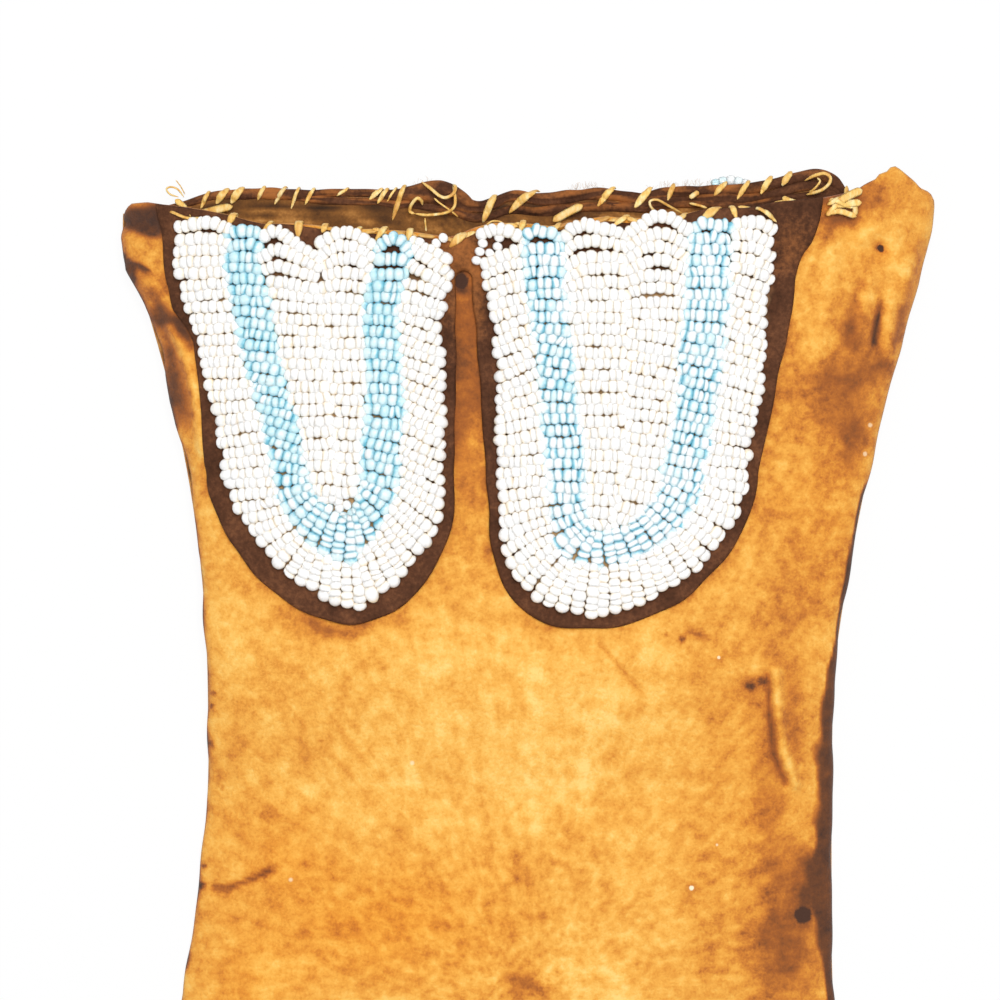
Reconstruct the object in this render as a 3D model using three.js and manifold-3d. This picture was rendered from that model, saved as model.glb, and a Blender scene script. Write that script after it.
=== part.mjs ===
// Beaded hide pipe bag lying on its back, with its mouth towards +Y. Millimetres, +Z up.
// The origin is on the surface that the bag lies on, under the middle of its length.

import * as THREE from 'three';
import { mergeVertices } from 'three/addons/utils/BufferGeometryUtils.js';
import Module from 'manifold-3d';

const wasm = await Module();
wasm.setup();

// Thickness of the tan hide and of the dark flaps, and the clearance between pieces that lie together
const HIDE = 1.4;
const FLAP = 1.2;
const CLEARANCE = 0.3;

// Plan of the bag: depths are measured down from the mouth line, widths out from the centre line
const BAG_LENGTH = 410;
const FOOT_CORNER = 22;
const LEFT_SIDE = {
  mouth: 103.5, neck: 81.3, foot: 108,
  straightDepth: 8, neckDepth: 128, flareDepth: 140, footDepth: 340, draw: 2,
};
const RIGHT_SIDE = {
  mouth: 107.8, neck: 81.6, foot: 101,
  straightDepth: 0, neckDepth: 125, flareDepth: 190, footDepth: 390, draw: 1.3,
};

// Highs and lows of the two mouth edges: share of the width from the left, height above the mouth line
const FRONT_MOUTH = [[0, -2], [0.04, 0], [0.39, -10], [0.84, 0.5], [0.885, 1.2], [0.948, 9.6], [1, 2.2]];
const BACK_MOUTH = [
  [0, -2], [0.1, -1.2], [0.38, 1], [0.437, -4.2], [0.49, -0.8], [0.76, 0.5], [0.86, 4], [0.905, -2],
  [0.948, 8.6], [1, 1.6],
];

// How far the front stands off the back, at the mouth and along the body
const MOUTH_OPEN = 16;
const BODY_OPEN = 9;
const MOUTH_REACH = 200;
const SIDE_ROUND = 0.65;
const FOOT_ROUND = 4;

// The back rests on its beads near the mouth and comes down to the surface below them
const RAMP_LENGTH = 46;
const RAMP_BELOW_LOBES = 4;

// The two lobes of a flap: a side line, a rounded quarter each way from the lowest point, a side line.
// The lines inside a lobe part its bead lanes: their way in from its edge, how much pointier than the lobe
// they are on each side, and how much higher they start to turn on the right.
const LEFT_LOBE = {
  topLeft: -92, lowLeft: -80, lowest: -43.5, lowRight: -17, topRight: -16.5,
  leftShoulder: 70, rightShoulder: 78, depth: 109, leftRound: 1.8, rightRound: 1.8,
  fieldEdge: { left: 3, bottom: 4.4, right: 3.2, leftTuck: 0.35, rightTuck: 0.35, lift: 0 },
  blueEdge: { left: 16.5, bottom: 16, right: 14.2, leftTuck: 0, rightTuck: 0.5, lift: 6 },
  innerEdge: { left: 25.5, bottom: 28.6, right: 24.2, leftTuck: 0.1, rightTuck: 0.4, lift: 8 },
};
const RIGHT_LOBE = {
  topLeft: -12.5, lowLeft: -8.3, lowest: 20, lowRight: 61.5, topRight: 70.5,
  leftShoulder: 75, rightShoulder: 70, depth: 110, leftRound: 2.8, rightRound: 1.8,
  fieldEdge: { left: 3.2, bottom: 4, right: 3.2, leftTuck: 0.15, rightTuck: 0.15, lift: 0 },
  blueEdge: { left: 15.5, bottom: 16.2, right: 14.2, leftTuck: 0, rightTuck: 0, lift: 0 },
  innerEdge: { left: 25.5, bottom: 25.2, right: 25, leftTuck: 0.1, rightTuck: 0.1, lift: 0 },
};
const NO_INSET = { left: 0, bottom: 0, right: 0, leftTuck: 0, rightTuck: 0, lift: 0 };
const FLAP_CORNER = 77;
const FLAP_CORNER_DEPTH = 28;
const FLAP_DROP = 0.3;
const SLIT_TOP = 20;
const LOBE_STEPS = 28;
const SLIT_STEPS = 3;

// Beads: each lane is a run of parallel rows, one ridge to a row
const BEAD = 2.9;
const ROW_PITCH = 2.9;
const ROW_GROOVE = 1.7;
const LANE_GAP = 0.6;
const BEADS_BELOW_RIM = 4;
const SHORTEST_ROW = 4.5;
const ROWS_PER_FOOT = 4;

// Rolled edge of the back flap and the sinew stitches over both rims
const ROLL = 4.6;
const ROLL_CLEARANCE = 0.8;
const ROLL_START = 0.055;
const ROLL_END = 0.87;
const SINEW_WIDTH = 1.8;
const SINEW_THICK = 0.6;
const STITCH_FOOT = 2.6;
const STITCH_LEAN = 3;
const STITCH_CLEARANCE = 0.4;
const FRONT_STITCHES = 15;
const BACK_STITCHES = 17;
// Shares of the lean at the points of a front stitch, and half-turns round the roll at those of a back stitch
const FRONT_STITCH_LEANS = [-0.5, 0, 0.25, 0.5, 0.75];
const BACK_STITCH_TURNS = [0.72, 0.5, 0.25, 0];

// Thread of the turned seams, inside the bag
const SEAM_THREAD = 0.7;
const SEAM_INSET = 5;
const SEAM_END = 50;
const FOOT_SEAM_SHARE = 0.14;

// How finely the hide is divided
const FRONT_COLUMNS = 20;
const FIRST_LEVEL = 16;
const LOBE_LEVELS = 4;
const BODY_LEVELS = 5;
const RIM_STEPS = 26;
const SIDE_STEPS = 14;
const ROLL_SIDES = 6;
// How far a cutting solid reaches past what it cuts, as a share of the bag's length
const CUT_REACH = 0.05;

const MOUTH_Y = BAG_LENGTH / 2;
const BACK_LIFT = BEAD + CLEARANCE + FLAP + CLEARANCE;
const RAMP_TOP = Math.max(LEFT_LOBE.depth, RIGHT_LOBE.depth) + RAMP_BELOW_LOBES;
const RAMP_FOOT = RAMP_TOP + RAMP_LENGTH;

const materials = {
  hide: new THREE.MeshStandardMaterial({ color: 0xdc9a48, roughness: 0.9, metalness: 0 }),
  darkHide: new THREE.MeshStandardMaterial({ color: 0x5f4033, roughness: 0.85, metalness: 0 }),
  whiteBeads: new THREE.MeshStandardMaterial({ color: 0xf3ece2, roughness: 0.3, metalness: 0 }),
  blueBeads: new THREE.MeshStandardMaterial({ color: 0xa5d4e2, roughness: 0.3, metalness: 0 }),
  sinew: new THREE.MeshStandardMaterial({ color: 0xd8b265, roughness: 0.6, metalness: 0 }),
};

const group = new THREE.Group();

function addPart(name, geometry, material) {
  const mesh = new THREE.Mesh(geometry, material);
  mesh.name = name;
  group.add(mesh);
}

// Solids for joining and cutting

function toSolid(geometry) {
  const bare = geometry.clone();
  bare.deleteAttribute('normal');
  bare.deleteAttribute('uv');
  const merged = mergeVertices(bare, 1e-4);
  return new wasm.Manifold(new wasm.Mesh({
    numProp: 3,
    vertProperties: merged.attributes.position.array,
    triVerts: new Uint32Array(merged.index.array),
  }));
}

function toGeometry(solid) {
  const mesh = solid.getMesh();
  const geometry = new THREE.BufferGeometry();
  geometry.setAttribute('position', new THREE.BufferAttribute(mesh.vertProperties, 3));
  geometry.setIndex(new THREE.BufferAttribute(mesh.triVerts, 1));
  return geometry;
}

function meshGeometry(points, triangles) {
  const geometry = new THREE.BufferGeometry();
  geometry.setAttribute('position', new THREE.Float32BufferAttribute(points.flatMap((p) => p.toArray()), 3));
  geometry.setIndex(triangles.flat());
  return geometry;
}

// A plan outline raised between two heights
function raisedPlan(outline, low, high) {
  const shape = new THREE.Shape(outline);
  const geometry = new THREE.ExtrudeGeometry(shape, { depth: high - low, bevelEnabled: false });
  return geometry.translate(0, 0, low);
}

// A flat strand along a curve; its width lies across the bends of the curve
function strand(curve, thick, width, sides, steps) {
  const section = new THREE.Shape();
  section.absellipse(0, 0, thick / 2, width / 2, 0, 2 * Math.PI);
  return new THREE.ExtrudeGeometry(
    new THREE.Shape(section.getPoints(sides).slice(0, sides)),
    { steps, extrudePath: curve, bevelEnabled: false },
  );
}

// Plan of the bag

// A smooth line through highs and lows, each given as a place and a height
function wave(turns, place) {
  const next = Math.max(1, turns.findIndex(([at]) => at >= place));
  const [from, low] = turns[next - 1];
  const [to, high] = turns[next];
  return low + (high - low) * THREE.MathUtils.smoothstep(place, from, to);
}

function sideWidth(side, depth) {
  const drawn = THREE.MathUtils.clamp((side.neckDepth - depth) / (side.neckDepth - side.straightDepth), 0, 1);
  const flared = THREE.MathUtils.smoothstep(depth, side.flareDepth, side.footDepth);
  return side.neck + (side.mouth - side.neck) * drawn ** side.draw + (side.foot - side.neck) * flared;
}

function acrossAt(share, depth) {
  const left = sideWidth(LEFT_SIDE, depth);
  return share * (left + sideWidth(RIGHT_SIDE, depth)) - left;
}

function shareAt(x, depth) {
  const left = sideWidth(LEFT_SIDE, depth);
  return (x + left) / (left + sideWidth(RIGHT_SIDE, depth));
}

// Depth of the bottom edge, which turns up into round corners
function footDepth(share) {
  const halfWidth = (LEFT_SIDE.foot + RIGHT_SIDE.foot) / 2;
  const toSide = 2 * Math.min(share, 1 - share) * halfWidth;
  const inCorner = Math.max(0, FOOT_CORNER - toSide);
  return BAG_LENGTH - FOOT_CORNER + Math.sqrt(FOOT_CORNER ** 2 - inCorner ** 2);
}

function planPoint(share, depth) {
  return new THREE.Vector2(acrossAt(share, depth), MOUTH_Y - depth);
}

function mouthDepth(turns, x) {
  return -wave(turns, shareAt(x, 0));
}

// Heights over the surface that the bag lies on

function backUnder(depth) {
  return BACK_LIFT * THREE.MathUtils.clamp((RAMP_FOOT - depth) / RAMP_LENGTH, 0, 1);
}

function opening(share, depth) {
  const mouth = Math.max(0, 1 - Math.max(0, depth) / MOUTH_REACH) ** 2;
  const along = BODY_OPEN + (MOUTH_OPEN - BODY_OPEN) * mouth;
  const foot = Math.sqrt(Math.max(0, 1 - (Math.max(0, depth) / BAG_LENGTH) ** FOOT_ROUND));
  const side = Math.max(0, 1 - (2 * share - 1) ** 2) ** SIDE_ROUND;
  return along * foot * side;
}

function frontUnder(share, depth) {
  return backUnder(depth) + HIDE + CLEARANCE + opening(share, depth);
}

function frontFlapTop(x, depth) {
  return frontUnder(shareAt(x, depth), depth) + HIDE + CLEARANCE + FLAP;
}

// The hide panels

// Shares of the width at which the front is cut into columns, closer together towards the sides
const columnShares = [];
for (let c = 0; c <= FRONT_COLUMNS; c++) columnShares.push((1 - Math.cos(Math.PI * c / FRONT_COLUMNS)) / 2);

// Rows of the front: the mouth edge, level lines down the body, then two lines along the bottom edge
function frontRows() {
  const lastLevel = BAG_LENGTH - FOOT_CORNER - 2 * SEAM_INSET;
  const { lerp } = THREE.MathUtils;
  const levels = [];
  for (let i = 0; i < LOBE_LEVELS; i++) levels.push(lerp(FIRST_LEVEL, RAMP_TOP, i / LOBE_LEVELS));
  levels.push(RAMP_TOP);
  for (let i = 0; i <= BODY_LEVELS; i++) levels.push(lerp(RAMP_FOOT, lastLevel, i / BODY_LEVELS));
  return [
    (share) => -wave(FRONT_MOUTH, share),
    ...levels.map((level) => () => level),
    (share) => footDepth(share) - SEAM_INSET,
    (share) => footDepth(share),
  ];
}

// A closed sheet over the front's grid, between two heights that depend on the share and the depth
function frontSheet(low, high) {
  const rows = frontRows();
  const width = columnShares.length;
  const points = [];
  for (const height of [low, high]) {
    for (const row of rows) {
      for (const share of columnShares) {
        const depth = row(share);
        const plan = planPoint(share, depth);
        points.push(new THREE.Vector3(plan.x, plan.y, height(share, depth)));
      }
    }
  }
  const layer = rows.length * width;
  const triangles = [];
  const quad = (a, b, c, d) => triangles.push([a, b, c], [a, c, d]);
  for (let r = 0; r + 1 < rows.length; r++) {
    for (let c = 0; c + 1 < width; c++) {
      const a = r * width + c;
      quad(a, a + 1, a + width + 1, a + width);
      quad(layer + a, layer + a + width, layer + a + width + 1, layer + a + 1);
    }
  }
  const rim = [];
  for (let c = 0; c + 1 < width; c++) rim.push(c);
  for (let r = 0; r + 1 < rows.length; r++) rim.push(r * width + width - 1);
  for (let c = width - 1; c > 0; c--) rim.push((rows.length - 1) * width + c);
  for (let r = rows.length - 1; r > 0; r--) rim.push(r * width);
  rim.forEach((a, i) => {
    const b = rim[(i + 1) % rim.length];
    quad(a, layer + a, layer + b, b);
  });
  return meshGeometry(points, triangles);
}

function frontPanel() {
  return frontSheet(frontUnder, (share, depth) => frontUnder(share, depth) + HIDE);
}

// The back is a bent strip, level at both ends and sloped between, cut to the plan of the bag
function backPanel() {
  const past = CUT_REACH * BAG_LENGTH;
  const bend = [-past - MOUTH_OPEN, RAMP_TOP, RAMP_FOOT, BAG_LENGTH + past];
  const under = bend.map((depth) => new THREE.Vector2(MOUTH_Y - depth, backUnder(depth)));
  const over = under.map((p) => new THREE.Vector2(p.x, p.y + HIDE)).reverse();
  const reach = LEFT_SIDE.mouth + RIGHT_SIDE.mouth + LEFT_SIDE.foot + RIGHT_SIDE.foot;
  const section = new THREE.Shape([...under, ...over]);
  const strip = new THREE.ExtrudeGeometry(section, { depth: reach, bevelEnabled: false });
  strip.rotateX(Math.PI / 2).rotateZ(Math.PI / 2).translate(-reach / 2, 0, 0);

  const outline = [];
  for (let i = 0; i < RIM_STEPS; i++) {
    const share = i / RIM_STEPS;
    outline.push(planPoint(share, -wave(BACK_MOUTH, share)));
  }
  const sideDepth = (mouth, i) => THREE.MathUtils.lerp(-mouth, BAG_LENGTH - FOOT_CORNER, i / SIDE_STEPS);
  for (let i = 0; i < SIDE_STEPS; i++) outline.push(planPoint(1, sideDepth(BACK_MOUTH.at(-1)[1], i)));
  for (const share of [...columnShares].reverse()) outline.push(planPoint(share, footDepth(share)));
  for (let i = SIDE_STEPS - 1; i > 0; i--) outline.push(planPoint(0, sideDepth(BACK_MOUTH[0][1], i)));
  const plan = raisedPlan(outline, -past, BACK_LIFT + HIDE + past);
  return toGeometry(toSolid(strip).intersect(toSolid(plan)));
}

// The lobed flaps

// One of a lobe's nested U lines: down the left side, round the bottom and up the right side
class LobeLine extends THREE.Curve {
  constructor(lobe, inset, topDepth) {
    super();
    this.lobe = lobe;
    this.inset = inset;
    this.topDepth = topDepth;
  }

  getPoint(t, target = new THREE.Vector2()) {
    const { lobe, inset } = this;
    const onLeft = t < 0.5;
    const top = onLeft ? lobe.topLeft + inset.left : lobe.topRight - inset.right;
    const low = onLeft ? lobe.lowLeft + inset.left : lobe.lowRight - inset.right;
    const shoulder = onLeft ? lobe.leftShoulder : lobe.rightShoulder - inset.lift;
    const fullness = onLeft ? lobe.leftRound - inset.leftTuck : lobe.rightRound - inset.rightTuck;
    const bottom = lobe.depth - inset.bottom;
    const up = Math.abs(4 * t - 2);
    if (up > 1) {
      return target.set(
        THREE.MathUtils.lerp(low, top, up - 1),
        THREE.MathUtils.lerp(shoulder, this.topDepth(top), up - 1),
      );
    }
    const turn = up * Math.PI / 2;
    return target.set(
      lobe.lowest + (low - lobe.lowest) * Math.sin(turn) ** (2 / fullness),
      shoulder + (bottom - shoulder) * Math.max(0, Math.cos(turn)) ** (2 / fullness),
    );
  }
}

// Outline of a flap: along the rim, then round the right lobe, the slit and the left lobe
function flapOutline(rimY) {
  const toPlan = (p) => new THREE.Vector2(p.x, MOUTH_Y - p.y);
  const outline = [];
  for (let i = 0; i <= RIM_STEPS; i++) {
    const x = THREE.MathUtils.lerp(LEFT_LOBE.topLeft, FLAP_CORNER, i / RIM_STEPS);
    outline.push(new THREE.Vector2(x, rimY(x)));
  }
  const top = () => SLIT_TOP;
  const right = new LobeLine(RIGHT_LOBE, NO_INSET, top).getPoints(LOBE_STEPS).reverse();
  const left = new LobeLine(LEFT_LOBE, NO_INSET, top).getPoints(LOBE_STEPS).reverse();
  const slitRight = right.at(-1);
  const slitLeft = left[0];
  outline.push(...right.filter((p, i) => i > LOBE_STEPS / 2 || p.y > FLAP_CORNER_DEPTH).map(toPlan));
  const slitRadius = (slitRight.x - slitLeft.x) / 2;
  for (let i = 1; i < SLIT_STEPS; i++) {
    const turn = Math.PI * i / SLIT_STEPS;
    outline.push(toPlan(new THREE.Vector2(
      (slitRight.x + slitLeft.x) / 2 + slitRadius * Math.cos(turn),
      SLIT_TOP - slitRadius * Math.sin(turn),
    )));
  }
  outline.push(...left.map(toPlan));
  return outline.reverse();
}

function frontFlap() {
  const low = (share, depth) => frontUnder(share, depth) + HIDE + CLEARANCE;
  const sheet = frontSheet(low, (share, depth) => low(share, depth) + FLAP);
  const rimY = (x) => MOUTH_Y - mouthDepth(FRONT_MOUTH, x) - FLAP_DROP;
  const plan = raisedPlan(flapOutline(rimY), 0, 2 * (BACK_LIFT + MOUTH_OPEN) + HIDE);
  return toGeometry(toSolid(sheet).intersect(toSolid(plan)));
}

// Middle line of the rolled edge, just past the back's mouth edge
function rollCentre(share) {
  const depth = -wave(BACK_MOUTH, share) - ROLL_CLEARANCE - ROLL / 2;
  return new THREE.Vector3(acrossAt(share, depth), MOUTH_Y - depth, BACK_LIFT + HIDE / 2);
}

function backFlap() {
  const low = BEAD + CLEARANCE;
  const rimY = (x) => MOUTH_Y - mouthDepth(BACK_MOUTH, x) + ROLL_CLEARANCE + ROLL / 2;
  const sheet = raisedPlan(flapOutline(rimY), low, low + FLAP);
  const path = [];
  for (let i = 0; i <= RIM_STEPS; i++) {
    path.push(rollCentre(THREE.MathUtils.lerp(ROLL_START, ROLL_END, i / RIM_STEPS)));
  }
  const roll = strand(new THREE.CatmullRomCurve3(path), ROLL, ROLL, ROLL_SIDES, RIM_STEPS);
  return toGeometry(toSolid(sheet).add(toSolid(roll)));
}

// The bead lanes

// A closed lane over pairs of edge points: rows stand up from a base, a groove between one row and the next.
// out is 1 where the rows stand up and -1 where they hang down.
function laneGeometry(edges, base, out) {
  const tops = [];
  const feet = [];
  const lowest = edges.reduce((best, [a], i) => (a.y > edges[best][0].y ? i : best), 0);
  edges.forEach(([a, b], i) => {
    const rise = i % 2 === 1 ? BEAD : BEAD - ROW_GROOVE;
    const point = (p, height) => new THREE.Vector3(p.x, MOUTH_Y - p.y, base(p.x, p.y) + out * height);
    tops.push([point(a, rise), point(b, rise)]);
    const atEnd = i === 0 || i === edges.length - 1;
    if (atEnd || (i - lowest) % (2 * ROWS_PER_FOOT) === 0) {
      feet.push({ at: i, ends: [point(a, 0), point(b, 0)] });
    }
  });
  const points = [...tops.flat(), ...feet.flatMap((foot) => foot.ends)];
  const top = (i, side) => 2 * i + side;
  const foot = (j, side) => 2 * tops.length + 2 * j + side;
  const triangles = [];
  const face = (a, b, c) => triangles.push(out > 0 ? [a, b, c] : [a, c, b]);
  for (let i = 0; i + 1 < tops.length; i++) {
    face(top(i, 0), top(i + 1, 0), top(i + 1, 1));
    face(top(i, 0), top(i + 1, 1), top(i, 1));
  }
  for (let j = 0; j + 1 < feet.length; j++) {
    face(foot(j, 0), foot(j + 1, 1), foot(j + 1, 0));
    face(foot(j, 0), foot(j, 1), foot(j + 1, 1));
    const from = feet[j].at;
    const to = feet[j + 1].at;
    const middle = Math.floor((from + to) / 2);
    for (let i = from; i < to; i++) {
      const near = i < middle ? j : j + 1;
      face(foot(near, 0), top(i + 1, 0), top(i, 0));
      face(foot(near, 1), top(i, 1), top(i + 1, 1));
    }
    face(foot(j, 0), foot(j + 1, 0), top(middle, 0));
    face(foot(j + 1, 1), foot(j, 1), top(middle, 1));
  }
  const last = tops.length - 1;
  const lastFoot = feet.length - 1;
  face(foot(0, 0), top(0, 0), top(0, 1));
  face(foot(0, 0), top(0, 1), foot(0, 1));
  face(foot(lastFoot, 0), top(last, 1), top(last, 0));
  face(foot(lastFoot, 0), foot(lastFoot, 1), top(last, 1));
  return meshGeometry(points, triangles);
}

function moved(inset, by) {
  return { ...inset, left: inset.left + by, bottom: inset.bottom + by, right: inset.right + by };
}

function between(a, b) {
  return Object.fromEntries(Object.keys(a).map((key) => [key, (a[key] + b[key]) / 2]));
}

// A lane that follows the lobe round, between two of its nested lines
function roundLane(lobe, outer, inner, topDepth) {
  const outerLine = new LobeLine(lobe, moved(outer, LANE_GAP / 2), topDepth);
  const innerLine = new LobeLine(lobe, moved(inner, -LANE_GAP / 2), topDepth);
  const middle = new LobeLine(lobe, between(outer, inner), topDepth);
  const stations = 2 * Math.round(middle.getLength() / ROW_PITCH);
  const edges = [];
  for (let i = 0; i <= stations; i++) {
    const t = middle.getUtoTmapping(i / stations);
    edges.push([outerLine.getPoint(t), innerLine.getPoint(t)]);
  }
  return edges;
}

// One of the two straight lanes inside the U lanes, on the left (0) or right (1) of the middle
function straightLane(lobe, half, topDepth) {
  const line = new LobeLine(lobe, moved(lobe.innerEdge, LANE_GAP), topDepth);
  const edges = [];
  const samples = 200;
  const leftSide = line.getPoints(samples).slice(0, samples / 2 + 1);
  const rightSide = line.getPoints(samples).slice(samples / 2).reverse();
  const xAt = (side, depth) => {
    const next = side.findIndex((p) => p.y >= depth);
    if (next <= 0) return side[0].x;
    const before = side[next - 1];
    const after = side[next];
    return THREE.MathUtils.mapLinear(depth, before.y, after.y, before.x, after.x);
  };
  const middleX = (depth) => (xAt(leftSide, depth) + xAt(rightSide, depth)) / 2;
  const start = Math.max(topDepth(leftSide[0].x), topDepth(rightSide[0].x));
  const end = lobe.depth - lobe.innerEdge.bottom - LANE_GAP;
  for (let i = 0; start + i * ROW_PITCH / 2 < end; i++) {
    const depth = start + i * ROW_PITCH / 2;
    const left = half === 0 ? xAt(leftSide, depth) : middleX(depth) + LANE_GAP / 2;
    const right = half === 0 ? middleX(depth) - LANE_GAP / 2 : xAt(rightSide, depth);
    if (right - left < SHORTEST_ROW) break;
    edges.push([new THREE.Vector2(left, depth), new THREE.Vector2(right, depth)]);
  }
  return edges.slice(0, edges.length - 1 + edges.length % 2);
}

function addLanes(face, base, out, topDepth) {
  const lobes = [['left', LEFT_LOBE], ['right', RIGHT_LOBE]];
  for (const [side, lobe] of lobes) {
    const name = `${face}_${side}`;
    const outerLane = roundLane(lobe, lobe.fieldEdge, lobe.blueEdge, topDepth);
    const blueLane = roundLane(lobe, lobe.blueEdge, lobe.innerEdge, topDepth);
    addPart(`${name}_outer_white_beads`, laneGeometry(outerLane, base, out), materials.whiteBeads);
    addPart(`${name}_blue_beads`, laneGeometry(blueLane, base, out), materials.blueBeads);
    for (const half of [0, 1]) {
      const lane = straightLane(lobe, half, topDepth);
      addPart(`${name}_inner_white_beads_${half + 1}`, laneGeometry(lane, base, out), materials.whiteBeads);
    }
  }
}

// Stitching

// A stitch of the front rim: from the flap, over the mouth edge, to the inside of the front panel
function frontStitch(x) {
  const leans = FRONT_STITCH_LEANS;
  const reach = STITCH_CLEARANCE + SINEW_THICK / 2;
  const rim = (lean) => mouthDepth(FRONT_MOUTH, x + lean * STITCH_LEAN);
  const outside = (lean, below) => {
    const at = x + lean * STITCH_LEAN;
    const depth = rim(lean) + below;
    return new THREE.Vector3(at, MOUTH_Y - depth, frontFlapTop(at, depth) + reach);
  };
  const inside = (lean, below) => {
    const at = x + lean * STITCH_LEAN;
    const depth = rim(lean) + below;
    return new THREE.Vector3(at, MOUTH_Y - depth, frontUnder(shareAt(at, depth), depth) - reach);
  };
  const over = outside(leans[2], -2 * reach);
  over.z -= (HIDE + FLAP) / 2;
  const path = [
    outside(leans[0], STITCH_FOOT), outside(leans[1], 0), over,
    inside(leans[3], 0), inside(leans[4], STITCH_FOOT),
  ];
  return strand(new THREE.CatmullRomCurve3(path), SINEW_THICK, SINEW_WIDTH, 4, 6);
}

// A stitch of the back rim: from the inside of the back panel, over the rolled edge, to its outer side
function backStitch(share) {
  const width = LEFT_SIDE.mouth + RIGHT_SIDE.mouth;
  const radius = ROLL / 2 + STITCH_CLEARANCE + SINEW_THICK / 2;
  const lean = STITCH_LEAN / width;
  const ahead = rollCentre(share + lean).sub(rollCentre(share - lean)).normalize();
  const path = [];
  const footDepthBelow = ROLL / 2 + ROLL_CLEARANCE + STITCH_FOOT;
  const foot = rollCentre(share - STITCH_LEAN / 2 / width);
  foot.y -= footDepthBelow;
  foot.z += HIDE / 2 + CLEARANCE + SINEW_THICK;
  path.push(foot);
  BACK_STITCH_TURNS.forEach((turn, i) => {
    const centre = rollCentre(share + STITCH_LEAN * i / BACK_STITCH_TURNS.length / width);
    centre.x -= radius * Math.cos(turn * Math.PI) * ahead.y;
    centre.y += radius * Math.cos(turn * Math.PI) * ahead.x;
    centre.z += radius * Math.sin(turn * Math.PI);
    path.push(centre);
  });
  return strand(new THREE.CatmullRomCurve3(path), SINEW_THICK, SINEW_WIDTH, 4, 6);
}

// Thread of a turned seam, half-way between the two panels
function seamThread(places) {
  const path = places.map(([share, depth]) => {
    const plan = planPoint(share, depth);
    const height = backUnder(depth) + HIDE + (CLEARANCE + opening(share, depth)) / 2;
    return new THREE.Vector3(plan.x, plan.y, height);
  });
  return strand(new THREE.CatmullRomCurve3(path), SEAM_THREAD, SEAM_THREAD, 5, path.length);
}

function sideSeam(onRight) {
  const places = [];
  const first = -Math.min(FRONT_MOUTH[0][1], 0) + SEAM_INSET;
  for (let i = 0; i <= SIDE_STEPS; i++) {
    const depth = THREE.MathUtils.lerp(first, BAG_LENGTH - SEAM_END, i / SIDE_STEPS);
    const inset = shareAt(SEAM_INSET - sideWidth(LEFT_SIDE, depth), depth);
    places.push([onRight ? 1 - inset : inset, depth]);
  }
  return seamThread(places);
}

function footSeam() {
  const places = [];
  for (let i = 0; i <= SIDE_STEPS; i++) {
    const share = THREE.MathUtils.lerp(FOOT_SEAM_SHARE, 1 - FOOT_SEAM_SHARE, i / SIDE_STEPS);
    places.push([share, footDepth(share) - SEAM_INSET]);
  }
  return seamThread(places);
}

// Assembly

addPart('back_panel', backPanel(), materials.hide);
addPart('front_panel', frontPanel(), materials.hide);
addPart('front_flap', frontFlap(), materials.darkHide);
addPart('back_flap', backFlap(), materials.darkHide);

const frontBase = (x, depth) => frontFlapTop(x, depth) + CLEARANCE;
addLanes('front', frontBase, 1, (x) => mouthDepth(FRONT_MOUTH, x) + BEADS_BELOW_RIM);
addLanes('back', () => BEAD, -1, (x) => mouthDepth(BACK_MOUTH, x));

for (let i = 0; i < FRONT_STITCHES; i++) {
  const margin = STITCH_LEAN;
  const x = THREE.MathUtils.lerp(LEFT_LOBE.topLeft + margin, FLAP_CORNER - margin, i / (FRONT_STITCHES - 1));
  addPart(`front_stitch_${i + 1}`, frontStitch(x), materials.sinew);
}
for (let i = 0; i < BACK_STITCHES; i++) {
  const share = THREE.MathUtils.lerp(ROLL_START, ROLL_END, (i + 0.5) / BACK_STITCHES);
  addPart(`back_stitch_${i + 1}`, backStitch(share), materials.sinew);
}

addPart('left_seam_thread', sideSeam(false), materials.sinew);
addPart('right_seam_thread', sideSeam(true), materials.sinew);
addPart('bottom_seam_thread', footSeam(), materials.sinew);

export default group;
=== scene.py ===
"""The beaded hide pipe bag, dressed: napped hide, dark lobed flaps, strung glass beads and sinew stitching.

Sizes are in millimetres: x runs across the bag, depth down from the mouth line, z up from the floor.
"""
import math

import bpy
import numpy as np
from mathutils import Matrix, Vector, geometry


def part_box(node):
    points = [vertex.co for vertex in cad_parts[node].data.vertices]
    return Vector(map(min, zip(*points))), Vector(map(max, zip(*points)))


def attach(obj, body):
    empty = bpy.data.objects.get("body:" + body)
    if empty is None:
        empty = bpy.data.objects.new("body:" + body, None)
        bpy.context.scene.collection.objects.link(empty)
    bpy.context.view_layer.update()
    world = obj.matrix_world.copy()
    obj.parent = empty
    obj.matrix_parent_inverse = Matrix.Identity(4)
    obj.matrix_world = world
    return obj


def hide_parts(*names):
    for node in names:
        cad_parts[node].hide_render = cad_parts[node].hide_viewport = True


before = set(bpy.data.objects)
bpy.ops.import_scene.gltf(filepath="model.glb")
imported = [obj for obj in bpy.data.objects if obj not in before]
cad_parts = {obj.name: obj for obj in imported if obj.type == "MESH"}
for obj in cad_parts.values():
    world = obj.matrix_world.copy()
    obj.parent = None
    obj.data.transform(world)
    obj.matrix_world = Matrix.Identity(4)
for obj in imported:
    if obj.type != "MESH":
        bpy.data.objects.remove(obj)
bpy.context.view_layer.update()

MM = 0.001
BODY = "root"

# Plan of the bag
BAG_LENGTH = -2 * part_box("back_panel")[0].y / MM
MOUTH_Y = BAG_LENGTH / 2
FOOT_CORNER = 22
LEFT_SIDE = {"mouth": 103.5, "neck": 81.3, "foot": 108, "straight_depth": 8, "neck_depth": 128,
             "flare_depth": 140, "foot_depth": 340, "draw": 2}
RIGHT_SIDE = {"mouth": 107.8, "neck": 81.6, "foot": 101, "straight_depth": 0, "neck_depth": 125,
              "flare_depth": 190, "foot_depth": 390, "draw": 1.3}

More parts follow.
